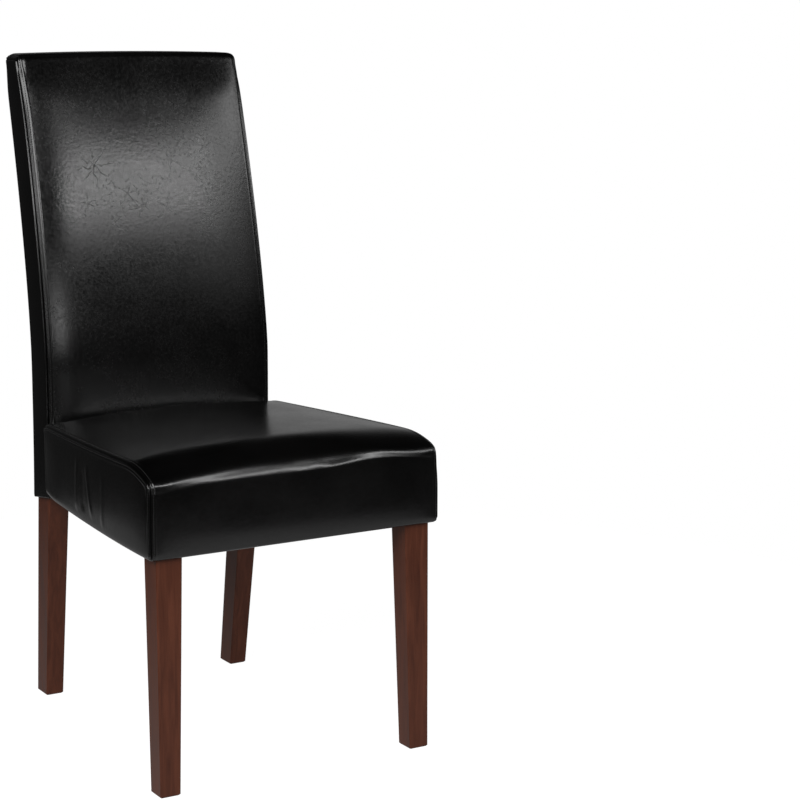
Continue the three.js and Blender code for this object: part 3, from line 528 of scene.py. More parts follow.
def seat_skin():
    skin = Skin(["seam", "held"])
    strip, seams = strip_of(SEAT)
    held = bump(seams, 0, SEAT_HELD_WIDTH)
    held[:SEAT_TUCKED_ROWS] = 1
    skin.grid(strip, SEAT_STRIP, seam=seams, held=held)

    count = len(EDGE_SHARES)
    turn = np.full(strip.shape[1], IN_FRONT)
    turn[:count] = SEAM_TURN * (1 - EDGE_SHARES)
    turn[-count:] = turn[:count][::-1]
    skin.grid(seat_hem(strip[-1], turn), SEAT_STRIP, seam=seams[-1], held=1)

    for side, panel in ((-1, SEAT_WALL_LEFT), (1, SEAT_WALL_RIGHT)):
        edge, edge_seams = wall_edge_of(SEAT, side)
        skin.grid(edge, panel, seam=edge_seams, held=bump(edge_seams, 0, SEAT_HELD_WIDTH))

        last = len(TOP_SHARES) + len(ROLL_SHARES)
        top = edge[:last, -1]
        wall_foot = SEAT_UNDER + rear_bottom_roll(top[:, 1])
        heights = mix(top[:, 2], wall_foot, WALL_SHARES[:, None])
        wall = stack(top[:, 0], top[:, 1], heights)
        front_line = edge[last - 1 :, -1]
        near_front = smooth(1 - (top[:, 1] - top[-1, 1]) / WALL_BLEND)
        wall = wall + (front_line - wall[:, -1])[:, None] * near_front[None, :, None]
        seam = nearest_distance(wall[..., 1:], edge[:, -1, 1:], edge_seams[:, -1])
        wall_held = bump(seam, 0, SEAT_HELD_WIDTH)
        wall_held[:, :SEAT_TUCKED_WALL_COLUMNS] = 1
        skin.grid(wall, panel, seam=seam, held=wall_held)

        bottom = np.concatenate([edge[-1], wall[-1][::-1][1:]])
        hem_turn = np.full(len(bottom), ON_WALL)
        hem_turn[:count] = SEAM_TURN * (1 + EDGE_SHARES)
        skin.grid(seat_hem(bottom, hem_turn), panel, seam=FAR_FROM_SEAM, held=1)
    return skin


# The back: a strip up the front, over the top and down the rear, and a wall on each side


def back_rise(z):
    return np.maximum(0, (z - BACK_BEND) / (BACK_TOP - BACK_BEND))


def back_rear_at(z):
    fall = np.maximum(0, (BACK_BEND - z) / (BACK_BEND - BACK_TAIL))
    return BACK_WAIST + BACK_RAKE * back_rise(z) ** BACK_RAKE_POWER + BACK_TAIL_KICK * fall**2


def back_lean_at(z):
    """Angle by which the back leans from upright."""
    run = back_rear_at(z + BACK_SLOPE_STEP) - back_rear_at(z - BACK_SLOPE_STEP)
    return math.atan(run / (2 * BACK_SLOPE_STEP))


def back_half_at(z):
    return BACK_HALF - BACK_NARROWING * back_rise(z)


def back_crown_at(x, z):
    low = smooth((z - BACK_CROWN_FOOT) / BACK_CROWN_RISE)
    high = smooth((BACK_TOP - z) / BACK_CROWN_TOP_FADE)
    share = np.clip(np.abs(x) / (back_half_at(z) - BACK_FRONT_EDGE), 0, 1)
    return BACK_CROWN * low * mix(BACK_CROWN_TOP_SHARE, 1, high) * (1 - share**BACK_CROWN_POWER)


def skirt_at(z):
    """How far the cover's lower end comes forward to meet the seat."""
    return BACK_SKIRT * smooth((BACK_SKIRT_TOP - z) / BACK_SKIRT_RISE)


def top_lift_at(x):
    across = x / BACK_HALF
    return BACK_TOP_CROWN * (1 - across**2) - BACK_TOP_LEAN * across


TOP_LEVEL = BACK_TOP - BACK_TOP_MARGIN


def corner_centre(front):
    """Centre, radius and lean of the top's front or rear rounding, before the top's lift."""
    radius = BACK_TOP_EDGE if front else BACK_REAR_TOP_EDGE
    z = TOP_LEVEL - radius
    lean = back_lean_at(z)
    reach = radius / math.cos(lean)
    rear = back_rear_at(z)
    y = rear - BACK_THICKNESS + reach if front else rear - reach
    return y, z, radius, lean


FRONT_CORNER = corner_centre(True)
REAR_CORNER = corner_centre(False)


def back_upright_point(kind, share, x):
    """A point of the strip's front or rear stretch, which share climbs from the hem to the top's rounding."""
    is_front = kind == "front"
    _, corner_z, radius, lean = FRONT_CORNER if is_front else REAR_CORNER
    low = BACK_TAIL + BACK_HEM_DROP if is_front else BACK_TAIL
    high = corner_z + radius * math.sin(lean) * (1 if is_front else -1)
    z = mix(low, high, share)
    rear = back_rear_at(z)
    tilt = back_lean_at(z)
    lift = top_lift_at(x) * smooth((z - (high - BACK_TOP_RISE)) / BACK_TOP_RISE)
    zero = np.zeros_like(x)
    if is_front:
        y = rear - BACK_THICKNESS - back_crown_at(x, z) - skirt_at(z)
        return y, z + lift, zero - math.cos(tilt), zero + math.sin(tilt)
    return zero + rear, z + lift, zero + math.cos(tilt), zero - math.sin(tilt)


def back_strip_point(station, x):
    """Point and outward normal in the (y, z) plane of the back's strip, at a station of its profile."""
    kind, share = station
    x = np.asarray(x, float)
    if kind in ("front", "rear"):
        return back_upright_point(kind, share, x)
    zero = np.zeros_like(x)
    lift = top_lift_at(x)
    front_bow = back_crown_at(x, FRONT_CORNER[1])
    if kind == "top":
        y = mix(FRONT_CORNER[0] - front_bow, REAR_CORNER[0], share)
        return y, TOP_LEVEL + lift, zero, zero + 1
    if kind == "front_corner":
        y, z, radius, lean = FRONT_CORNER
        angle = mix(math.pi / 2 - lean, 0, share)
        out, up = math.sin(angle), math.cos(angle)
        return y - radius * out - front_bow, z + radius * up + lift, zero - out, zero + up
    y, z, radius, lean = REAR_CORNER
    angle = mix(0, math.pi / 2 + lean, share)
    out, up = math.sin(angle), math.cos(angle)
    return zero + y + radius * out, z + radius * up + lift, zero + out, zero + up


def back_edge_radius(station):
    kind, share = station
    near_top = smooth((share - TOP_EDGE_FROM_SHARE) / (1 - TOP_EDGE_FROM_SHARE))
    return {
        "front": mix(BACK_FRONT_EDGE, BACK_TOP_EDGE, near_top),
        "front_corner": BACK_TOP_EDGE,
        "top": mix(BACK_TOP_EDGE, BACK_REAR_TOP_EDGE, share),
        "rear_corner": BACK_REAR_TOP_EDGE,
        "rear": mix(BACK_REAR_EDGE, BACK_REAR_TOP_EDGE, near_top),
    }[kind]


def back_seam_turn(station):
    """Where on the rounded edge the seam lies. Over the top it leans out to the side."""
    kind, share = station
    lean = {
        "front": smooth((share - SEAM_LEAN_FROM_SHARE) / (1 - SEAM_LEAN_FROM_SHARE)),
        "front_corner": 1.0,
        "top": 1.0,
        "rear_corner": 1.0 - share,
        "rear": 0.0,
    }[kind]
    return mix(SEAM_TURN, SEAM_TURN_AT_TOP, lean)


def back_half_of(station, side):
    return float(back_half_at(back_strip_point(station, side * BACK_HALF)[1]))


BACK = Cover(
    [("front", s) for s in UP_SHARES]
    + [("front_corner", s) for s in CORNER_SHARES[1:]]
    + [("top", s) for s in OVER_SHARES[1:]]
    + [("rear_corner", s) for s in CORNER_SHARES[1:]]
    + [("rear", s) for s in UP_SHARES[::-1][1:]],
    back_strip_point,
    back_half_of,
    back_edge_radius,
    back_seam_turn,
    BACK_MIDDLE_COLUMNS,
)
BACK_STRIP_FRONT, BACK_STRIP_REAR, BACK_WALL_LEFT, BACK_WALL_RIGHT = 3, 4, 5, 6
REAR_SEAM_CORNER_STATION = 2
TOP_END = len(UP_SHARES) + len(CORNER_SHARES[1:]) + len(OVER_SHARES[1:])
REAR_SEAM_STATION = TOP_END + REAR_SEAM_CORNER_STATION


def hem_rows(line, outward):
    """Rows that fold a lower edge inwards and up again inside the cover."""
    return np.array([line] + [line - outward * inset + np.array([0, 0, rise]) for inset, rise in HEM_STEPS])


def round_corner(side, turns, facing):
    """Outward directions in plan round a corner, from facing (-1 to the front, 1 to the rear) to the side."""
    return stack(side * np.sin(turns), facing * np.cos(turns), 0)


def back_skin():
    skin = Skin(["seam", "held", "rear_seam"])
    strip, seams = strip_of(BACK)
    ups = len(UP_SHARES)
    count = len(EDGE_SHARES)
    along = path_length(strip[:, 0])
    to_rear_seam = np.abs(along - along[REAR_SEAM_STATION])[:, None]
    heights = [float(back_strip_point(station, 0.0)[1]) for station in BACK.stations[:ups]]
    first = max(k for k, height in enumerate(heights) if height <= BACK_OPEN_BELOW)
    held = bump(seams, 0, BACK_HELD_WIDTH)
    held[: first + BACK_HELD_ROWS] = 1
    held[ups - BACK_HELD_ROWS :] = 1
    front = slice(first, REAR_SEAM_STATION + 1)
    rear = slice(REAR_SEAM_STATION, None)
    near_rear = np.minimum(seams, to_rear_seam)
    skin.grid(
        strip[front], BACK_STRIP_FRONT, seam=seams[front], held=held[front], rear_seam=to_rear_seam[front]
    )
    skin.grid(strip[rear], BACK_STRIP_REAR, seam=FAR_FROM_SEAM, held=held[rear], rear_seam=near_rear[rear])
    outward = np.tile((0.0, 1.0, 0.0), (strip.shape[1], 1))
    outward[:count] = round_corner(-1, SEAM_TURN * (1 - EDGE_SHARES), 1)
    outward[-count:] = round_corner(1, SEAM_TURN * (1 - EDGE_SHARES[::-1]), 1)
    hem = hem_rows(strip[-1], outward)
    skin.grid(hem, BACK_STRIP_REAR, seam=FAR_FROM_SEAM, held=1, rear_seam=near_rear[-1])

    before = slice(0, REAR_SEAM_STATION + 1)
    for side, panel in ((-1, BACK_WALL_LEFT), (1, BACK_WALL_RIGHT)):
        edge, distance = wall_edge_of(BACK, side)
        skin.grid(edge[before], panel, seam=distance[before], held=1, rear_seam=to_rear_seam[before])
        skin.grid(edge[rear], panel, seam=FAR_FROM_SEAM, held=1, rear_seam=distance[rear])

        inner = edge[:, -1]
        overs = inner[TOP_END - len(OVER_SHARES) : TOP_END]
        shares = (overs[:, 1] - overs[0, 1]) / (overs[-1, 1] - overs[0, 1])
        fronts = np.concatenate([inner[: ups - 1], overs[:1]])
        rears = np.concatenate([inner[::-1][: ups - 1], overs[-1:]])
        wall = mix(fronts[:, None], rears[:, None], shares[None, :, None])
        wall[-1] = overs
        reach_front = nearest_distance(wall[..., 1:], inner[before, 1:], distance[before, -1])
        reach_rear = nearest_distance(wall[..., 1:], inner[rear, 1:], distance[rear, -1])
        margin = np.minimum(reach_front, reach_rear) - BACK_REAR_EDGE * SEAM_TURN
        wall_held = bump(margin, 0, BACK_WALL_HELD_WIDTH)
        skin.grid(wall, panel, seam=reach_front, held=wall_held, rear_seam=reach_rear)

        bottom = np.concatenate([edge[0], wall[0][1:], edge[-1][::-1][1:]])
        outward = np.tile((float(side), 0.0, 0.0), (len(bottom), 1))
        outward[:count] = round_corner(side, SEAM_TURN * (1 + EDGE_SHARES), -1)
        outward[-count:] = round_corner(side, SEAM_TURN * (1 + EDGE_SHARES[::-1]), 1)
        skin.grid(hem_rows(bottom, outward), panel, seam=FAR_FROM_SEAM, held=1, rear_seam=FAR_FROM_SEAM)
    return skin


# Cloth simulation of the padded covers

LAST_FRAME = 20
LEAST_PIN = 0.02
TENSION = 30
SEAT_PRESSURE = 3.0
SEAT_PLUMP_CAP = 0.002
BACK_PRESSURE = 2.0
BACK_PLUMP_CAP = 0.0035
RELAX_ROUNDS = 3


def relax(mesh, field):
    """Evens out a field over a mesh's neighbouring vertices."""
    edges = read(mesh.edges, "vertices", 2, np.int32)
    degree = np.bincount(edges.ravel(), minlength=len(mesh.vertices))[:, None]
    for _ in range(RELAX_ROUNDS):
        total = np.zeros_like(field)
        np.add.at(total, edges[:, 0], field[edges[:, 1]])
        np.add.at(total, edges[:, 1], field[edges[:, 0]])
        field = 0.5 * field + 0.5 * total / np.maximum(degree, 1)
    return field


def plump(obj, pressure, cap):
    """Swells a cover with a short cloth simulation that is held at its seams, and caps how far it moves."""
    mesh = obj.data
    start = coordinates(mesh)
    held = vertex_values(mesh, "held")
    group = obj.vertex_groups.new(name="held")
    for index, weight in enumerate(held):
        if weight > LEAST_PIN:
            group.add([index], min(1.0, float(weight)), "REPLACE")
    modifier = obj.modifiers.new("cloth", "CLOTH")
    settings = modifier.settings
    settings.quality = 5
    settings.mass = 0.4
    settings.tension_stiffness = TENSION
    settings.compression_stiffness = TENSION
    settings.shear_stiffness = TENSION / 2
    settings.bending_stiffness = 4
    settings.vertex_group_mass = "held"
    settings.pin_stiffness = 1
    settings.use_pressure = True
    settings.uniform_pressure_force = pressure
    settings.effector_weights.gravity = 0
    scene = bpy.context.scene
    modifier.point_cache.frame_start = 1
    modifier.point_cache.frame_end = LAST_FRAME
    for number in range(1, LAST_FRAME + 1):
        scene.frame_set(number)
    evaluated = obj.evaluated_get(bpy.context.evaluated_depsgraph_get())
    end = coordinates(evaluated.data)
    obj.modifiers.remove(modifier)
    scene.frame_set(1)
    move = end - start
    length = np.linalg.norm(move, axis=1, keepdims=True)
    move *= cap * np.tanh(length / cap) / np.maximum(length, 1e-9)
    move = relax(mesh, move) * (1 - held[:, None])
    set_coordinates(mesh, start + move)
    print(f"{obj.name}: the cover moved at most {np.linalg.norm(move, axis=1).max() * 1000:.1f} mm")


# Seams, as a height over the surface at a distance from the seam line


def topstitched(distance, with_row, row_place, band_end):
    """Height of a seam with a fold and, on a stitched side, a row of stitches and the doubled leather."""
    height = -SEAM_GROOVE * bump(distance, 0, SEAM_GROOVE_WIDTH)
    height = height + SEAM_RIDGE * bump(distance, SEAM_RIDGE_PLACE, SEAM_RIDGE_WIDTH)
    row = -STITCH_DENT * bump(distance, row_place, STITCH_DENT_WIDTH)
    past_band = smooth((distance - band_end + SEAM_BAND_EDGE / 2) / SEAM_BAND_EDGE)
    band = SEAM_BAND * (1 - past_band) * smooth(distance / SEAM_BAND_START)
    return height + np.where(with_row, row + band, 0)


def band_sink(distance, on_strip, height):
    """How far the flat band beside the back's front seam lies under the cushion's rounding."""
    strip = np.clip(1 - distance / BACK_BAND_END, 0, 1)
    wall = 1 - smooth(distance / BACK_WALL_SINK_WIDTH)
    below_top = smooth((BACK_TOP - BACK_BAND_FADE[0] - height) / BACK_BAND_FADE[1])
    return BACK_BAND_SINK * below_top * np.where(on_strip, strip, wall)


def plain_seam(distance):
    height = -SEAM_GROOVE * bump(distance, 0, SEAM_GROOVE_WIDTH)
    ridge = bump(distance, SEAM_RIDGE_PLACE, SEAM_RIDGE_WIDTH * REAR_RIDGE_WIDTH_SHARE)
    return height + REAR_RIDGE_SHARE * SEAM_RIDGE * ridge


# Soft folds that the leather has taken, each from a point to a point with a width and a height

SEAT_FOLDS = (
    ((-0.2150, -0.022, 0.430), (-0.2145, -0.014, 0.360), 0.0045, 0.0010),
    ((-0.2184, -0.064, 0.430), (-0.2196, -0.082, 0.362), 0.0050, 0.0012),
    ((-0.2230, -0.133, 0.425), (-0.2226, -0.127, 0.356), 0.0055, 0.0009),
    ((-0.2184, -0.045, 0.420), (-0.2184, -0.046, 0.365), 0.0080, -0.0008),
    ((0.2150, -0.020, 0.428), (0.2160, -0.031, 0.360), 0.0050, 0.0009),
    ((0.2225, -0.112, 0.420), (0.2228, -0.121, 0.358), 0.0060, 0.0010),
)
FOLD_END_SHARE = 0.25


def fold_height(points):
    height = np.zeros(len(points))
    for start, end, width, rise in SEAT_FOLDS:
        start, end = np.array(start), np.array(end)
        along = end - start
        share = (points - start) @ along / (along @ along)
        inside = smooth(np.minimum(share, 1 - share) / FOLD_END_SHARE + 0.5)
        foot = start + np.clip(share, 0, 1)[:, None] * along
        height += rise * bump(np.linalg.norm(points - foot, axis=1), 0, width) * inside
    return height


# The covers' panels


def refined(obj, name):
    """A finer mesh of a cover, from a subdivision that keeps its open corners."""
    modifier = obj.modifiers.new("finer", "SUBSURF")
    levels = 2
    modifier.levels = levels
    modifier.render_levels = levels
    modifier.boundary_smooth = "PRESERVE_CORNERS"
    modifier.uv_smooth = "NONE"
    evaluated = obj.evaluated_get(bpy.context.evaluated_depsgraph_get())
    mesh = bpy.data.meshes.new_from_object(evaluated)
    mesh.name = name
    return mesh


def set_smooth(mesh):
    mesh.polygons.foreach_set("use_smooth", np.ones(len(mesh.polygons), bool))


def panel_object(name, mesh, panel_number):
    """A piece of its own from the faces of one panel."""
    panels = read(mesh.attributes["panel"].data, "value", kind=np.int32)
    used, local = np.unique(quads_of(mesh)[panels == panel_number], return_inverse=True)
    piece_mesh = bpy.data.meshes.new(name)
    piece_mesh.from_pydata(coordinates(mesh)[used].tolist(), [], local.reshape(-1, 4).tolist())
    set_smooth(piece_mesh)
    return placed(name, piece_mesh)


def seat_relief(mesh, points):
    height = topstitched(vertex_values(mesh, "seam"), True, STITCH_PLACE, SEAM_BAND_END)
    return height * smooth((points[:, 2] - SEAT_UNDER - SEAM_FADE_START) / SEAM_FADE) + fold_height(points)


def back_relief(mesh, points):
    seam = vertex_values(mesh, "seam")
    rear_seam = vertex_values(mesh, "rear_seam")
    on_front = np.abs(points[:, 0]) < back_half_at(points[:, 2]) - BACK_STRIP_MARGIN
    height = topstitched(seam, on_front, BACK_STITCH_PLACE, BACK_BAND_END)
    height -= band_sink(seam, on_front, points[:, 2])
    return np.where(rear_seam < seam, plain_seam(rear_seam), height)


def make_cover(name, skin, pressure, cap, relief):
    """The fine mesh of a cover: welded, plumped, subdivided, and with its seams and folds pressed in."""
    coarse = skin.build(f"{name}_coarse")
    plump(coarse, pressure, cap)
    mesh = refined(coarse, f"{name}_fine")
    bpy.data.objects.remove(coarse)
    points = coordinates(mesh)
    normals = read(mesh.vertex_normals, "vector", 3).astype(float)
    set_coordinates(mesh, points + normals * relief(mesh, points)[:, None])
    return mesh


# Rows of stitches

STITCH_RINGS = 5
STITCH_SIDES = 6


def row_path(cover, stations, side, distance):
    """Points along a row, at a distance from the seam line that is positive towards the strip."""
    return np.array([
        fillet(cover, station, side, cover.seam_turn(station) - distance / cover.edge_radius(station))
        for station in stations
    ])


def spread_along(path, pitch):
    """Evenly spaced points along a polyline, with the direction at each."""
    reach = path_length(path)
    places = np.arange(pitch / 2, reach[-1], pitch)
    points, ahead, behind = (
        np.stack([np.interp(places + shift, reach, path[:, k]) for k in range(3)], axis=1)
        for shift in (0, pitch / 4, -pitch / 4)
    )
    return points, ahead - behind


def stitch_shape():
    """Points (along, across, outwards) and faces of a thread that dives into the leather at both ends."""
    points = []
    for ring in range(STITCH_RINGS):
        share = ring / (STITCH_RINGS - 1)
        arch = math.sin(math.pi * share)
        rise = THREAD_RADIUS * (THREAD_RISE_SHARE * arch - THREAD_SINK_SHARE)
        radius = THREAD_RADIUS * mix(THREAD_END_SHARE, 1, arch)
        for side in range(STITCH_SIDES):
            turn = 2 * math.pi * side / STITCH_SIDES
            across, out = radius * math.cos(turn), radius * math.sin(turn)
            points.append((STITCH_LENGTH * (share - 0.5), across, rise + out))
    index = np.arange(len(points)).reshape(STITCH_RINGS, STITCH_SIDES)
    turned = np.roll(index, -1, axis=1)
    quads = np.stack([index[:-1], turned[:-1], turned[1:], index[1:]], axis=-1).reshape(-1, 4)
    return points, quads.tolist() + [index[0, ::-1].tolist(), index[-1].tolist()]


def stitches(name, surface, paths, material):
    """Stitches laid on a surface along each path."""
    shape, shape_faces = stitch_shape()
    vertices, faces = [], []
    for path in paths:
        for point, direction in zip(*spread_along(path, STITCH_PITCH)):
            foot, normal, _, _ = surface.find_nearest(Vector(point))
            along = Vector(direction)
            along = (along - normal * along.dot(normal)).normalized()
            across = normal.cross(along)
            faces += [[len(vertices) + corner for corner in face] for face in shape_faces]
            vertices += [foot + along * a + across * b + normal * c for a, b, c in shape]
    mesh = bpy.data.meshes.new(name)
    mesh.from_pydata([tuple(v) for v in vertices], [], faces)
    set_smooth(mesh)
    mesh.materials.append(material)
    piece = placed(name, mesh)
    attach(piece, "root")


def surface_of(mesh):
    return BVHTree.FromPolygons(coordinates(mesh).tolist(), quads_of(mesh).tolist())


def stitch_seat(mesh, material):
    surface = surface_of(mesh)
    for side, word in ((-1, "left"), (1, "right")):
        paths = []
        for distance in (-STITCH_PLACE, STITCH_PLACE):
            path = row_path(SEAT, SEAT.stations, side, distance)
            shown = (path[:, 2] >= SEAT_UNDER + SEAT_BOTTOM_ROLL) & (path[:, 1] <= SEAT_STITCHES_END)
            paths.append(path[shown])
        stitches(f"seat_stitches_{word}", surface, paths, material)


def stitch_back(mesh, material):
    surface = surface_of(mesh)
    for side, word in ((-1, "left"), (1, "right")):
        path = row_path(BACK, BACK.stations[:REAR_SEAM_STATION], side, BACK_STITCH_PLACE)
        stitches(f"back_stitches_{word}", surface, [path[path[:, 2] >= BACK_STITCHES_START]], material)


# Materials


class Nodes:
    """A short way to write the nodes of a material or of the world."""

    def __init__(self, owner, shader="Principled BSDF"):
        owner.use_nodes = True
        self.tree = owner.node_tree
        self.shader = self.tree.nodes[shader]
        self.coordinates = self.add("ShaderNodeTexCoord").outputs
        self.place = self.coordinates["Object"]

    def add(self, kind, **settings):
        node = self.tree.nodes.new(kind)
        for key, value in settings.items():
            setattr(node, key, value)
        return node

    def link(self, source, target):
        if isinstance(source, bpy.types.NodeSocket):
            self.tree.links.new(source, target)
        else:
            target.default_value = source

    def fill(self, node, values):
        for key, value in values.items():
            self.link(value, node.inputs[key])
        return node

    def set(self, **values):
        self.fill(self.shader, {key.replace("_", " "): value for key, value in values.items()})

    def math(self, operation, *values):
        node = self.add("ShaderNodeMath", operation=operation)
        return self.fill(node, dict(enumerate(values))).outputs[0]

    def times(self, a, b):
        return self.math("MULTIPLY", a, b)

    def plus(self, a, b):
        return self.math("ADD", a, b)

    def minus(self, a, b):
        return self.math("SUBTRACT", a, b)

    def split(self, vector):
        return self.fill(self.add("ShaderNodeSeparateXYZ"), {0: vector}).outputs

    def is_camera(self):
        return self.add("ShaderNodeLightPath").outputs["Is Camera Ray"]

    def stretched(self, scale):
        return self.fill(self.add("ShaderNodeMapping"), {"Vector": self.place, "Scale": scale}).outputs[0]

    def noise(self, scale, detail, roughness, distortion=0.0, vector=None):
        values = {"Scale": scale, "Detail": detail, "Roughness": roughness, "Distortion": distortion}
        node = self.fill(self.add("ShaderNodeTexNoise"), values)
        return self.fill(node, {"Vector": vector or self.place}).outputs["Fac"]

    def warped(self, scale, amount):
        """Object coordinates that a noise pushes about."""
        noise = self.add("ShaderNodeTexNoise")
        self.fill(noise, {"Vector": self.place, "Scale": scale, "Detail": 2.0})
        centred = self.add("ShaderNodeVectorMath", operation="SUBTRACT")
        self.fill(centred, {0: noise.outputs["Color"], 1: (0.5, 0.5, 0.5)})
        moved = self.add("ShaderNodeVectorMath", operation="MULTIPLY_ADD")
        self.fill(moved, {0: centred.outputs[0], 1: (amount, amount, amount), 2: self.place})
        return moved.outputs[0]

    def height_share(self, low, high):
        """1 half-way between two heights, down to 0 at each of them."""
        height = self.split(self.place)["Z"]
        rising = self.map_range(height, low, (low + high) / 2, 0.0, 1.0)
        falling = self.map_range(height, (low + high) / 2, high, 1.0, 0.0)
        return self.times(rising, falling)

    def cells(self, scale, feature, vector=None):
        node = self.add("ShaderNodeTexVoronoi", feature=feature)
        return self.fill(node, {"Vector": vector or self.place, "Scale": scale}).outputs["Distance"]

    def ramp(self, factor, stops):
        node = self.fill(self.add("ShaderNodeValToRGB"), {"Fac": factor})
        for element, (position, colour) in zip(node.color_ramp.elements, stops):
            element.position = position
            element.color = (*colour, 1)
        return node.outputs["Color"]

    def map_range(self, value, low, high, to_low, to_high, interpolation="LINEAR"):
        node = self.add("ShaderNodeMapRange", interpolation_type=interpolation)
        values = {"From Min": low, "From Max": high, "To Min": to_low, "To Max": to_high}
        return self.fill(node, {"Value": value, **values}).outputs["Result"]

    def bump(self, height, strength, distance):
        values = {"Height": height, "Strength": strength, "Distance": distance}
        return self.fill(self.add("ShaderNodeBump"), values).outputs["Normal"]


# Creases that spread like a star from a place on the back: across, height, branches, reach, turn and strength

BACK_STARS = (
    (-0.089, 0.838, 8, 0.048, 0.3, 0.80),
    (-0.036, 0.795, 5, 0.034, 1.1, 0.65),
    (-0.018, 0.776, 6, 0.032, 0.2, 0.60),
    (-0.103, 0.781, 5, 0.032, 0.8, 0.50),
    (0.042, 0.842, 5, 0.038, 0.5, 0.55),
    (0.024, 0.772, 4, 0.032, 1.4, 0.45),
    (0.102, 0.862, 5, 0.032, 0.9, 0.35),
    (-0.062, 0.752, 4, 0.028, 0.1, 0.45),
)
STAR_FADE_SHARE = 0.25
CREASE_WIDTH = 0.0010
CREASE_DEPTH = 0.060
CREASE_ROUGHNESS = 0.15
CRACKLE_LOW = 0.70
CRACKLE_HIGH = 0.93
CRACKLE_WIDTH = 0.05
PEBBLE_SHARE = 0.10
UNEVEN_SHARE = 0.4
TOP_ROUGHNESS = 0.16
TOP_ROUGHNESS_START = BACK_TOP - 0.0035
TOP_ROUGHNESS_END = BACK_TOP - 0.0005
LEATHER_DARK = (0.0010, 0.0010, 0.0010)
LEATHER_LIGHT = (0.0020, 0.0019, 0.0019)
EVEN = (1, 1, 1)
MATT = (0.65, 0.75)
DULL = (0.85, 0.95)


def star_creases(nodes, place, star):
    """Up to the star's strength on thin wavering lines that leave a place, fading with the distance."""
    across, height, branches, reach, turn, strength = star
    split = nodes.split(place)
    dx = nodes.minus(split["X"], across)
    dz = nodes.minus(split["Z"], height)
    squares = nodes.plus(nodes.times(dx, dx), nodes.times(dz, dz))
    far = nodes.math("SQRT", squares)
    angle = nodes.plus(nodes.math("ARCTAN2", dz, dx), turn + math.pi)
    share = nodes.times(angle, branches / (2 * math.pi))
    off_line = nodes.math("ABSOLUTE", nodes.minus(nodes.math("FRACT", share), 0.5))
    reach_off = nodes.times(nodes.times(off_line, far), 2 * math.pi / branches)
    line = nodes.map_range(reach_off, 0.0, CREASE_WIDTH, strength, 0.0)
    return nodes.times(line, nodes.map_range(far, reach * STAR_FADE_SHARE, reach, 1.0, 0.0))


def back_creases(nodes, level):
    """The back's creases: a faint net of cracks in patches, as strong as level says, and the stars."""
    patches = nodes.map_range(nodes.noise(15, 2, 0.5), 0.42, 0.60, 0.06, 0.28)
    cracks = nodes.cells(60, "DISTANCE_TO_EDGE", nodes.warped(70, 0.018))
    crackle = nodes.map_range(cracks, 0.0, CRACKLE_WIDTH, 1.0, 0.0)
    creases = nodes.times(nodes.times(crackle, patches), level)
    wavering = nodes.warped(65, 0.017)
    for star in BACK_STARS:
        creases = nodes.math("MAXIMUM", creases, star_creases(nodes, wavering, star))
    return creases


def leather_material(name, low_roughness, high_roughness, grain, creased):
    """Black coated leather. The heights of its grain and creases are in millimetres."""
    material = bpy.data.materials.new(name)
    nodes = Nodes(material)
    cloud = nodes.noise(9, 3, 0.55)
    uneven = UNEVEN_SHARE * grain
    patchy = nodes.map_range(nodes.noise(230, 3, 0.6), 0.35, 0.65, -uneven, uneven)
    height = nodes.split(nodes.place)["Z"]
    on_top = nodes.map_range(height, TOP_ROUGHNESS_START, TOP_ROUGHNESS_END, 0.0, TOP_ROUGHNESS)
    roughness = nodes.plus(nodes.map_range(cloud, 0.3, 0.7, low_roughness, high_roughness), patchy)
    roughness = nodes.plus(roughness, on_top)
    relief = nodes.times(nodes.noise(200, 4, 0.6), grain)
    if creased:
        level = nodes.height_share(CRACKLE_LOW, CRACKLE_HIGH)
        creases = back_creases(nodes, level)
        relief = nodes.times(relief, nodes.plus(nodes.times(level, 2.0), 0.7))
        relief = nodes.minus(relief, nodes.times(creases, CREASE_DEPTH))
        roughness = nodes.plus(roughness, nodes.times(creases, CREASE_ROUGHNESS))
    pebble = nodes.times(nodes.cells(380, "SMOOTH_F1"), PEBBLE_SHARE * grain)
    nodes.set(
        Base_Color=nodes.ramp(cloud, [(0.35, LEATHER_DARK), (0.65, LEATHER_LIGHT)]),
        Roughness=roughness,
        IOR=1.5,
        Normal=nodes.bump(nodes.plus(pebble, relief), 1.0, 0.001),
    )
    return material


def figured_material(name, light, dark, noise, stretch=EVEN, roughness=MATT, bump=(0.2, 0.0005), **more):
    """Colour, gloss and height follow one noise, given by its scale, detail, roughness and distortion."""
    material = bpy.data.materials.new(name)
    nodes = Nodes(material)
    figure = nodes.noise(*noise, vector=nodes.stretched(stretch))
    nodes.set(
        Base_Color=nodes.ramp(figure, [(0.3, dark), (0.7, light)]),
        Roughness=nodes.map_range(figure, 0.3, 0.7, *roughness),
        Normal=nodes.bump(figure, *bump),
        **more,
    )
    return material


def plain_material(name, light, dark, scale, stretch=EVEN, roughness=MATT):
    return figured_material(name, light, dark, (scale, 5, 0.6, 0.3), stretch, roughness)


def wood_material():
    return figured_material(
        "stained_wood", (0.110, 0.032, 0.0155), (0.056, 0.0145, 0.0065), (14, 6, 0.62, 0.6), (9, 9, 0.7),
        roughness=(0.34, 0.46), bump=(0.15, 0.0004), Specular_IOR_Level=0.22,
    )


def thread_material():
    return figured_material(
        "black_thread", (0.010, 0.010, 0.010), (0.004, 0.004, 0.004), (2500, 2, 0.5, 0),
        roughness=(0.6, 0.8), bump=(0.4, 0.0002),
    )


def steel_material():
    return figured_material(
        "zinc_steel", (0.60, 0.62, 0.65), (0.50, 0.52, 0.55), (200, 5, 0.6, 0.3),
        roughness=(0.27, 0.37), Metallic=1.0,
    )


# Stage, lights and camera

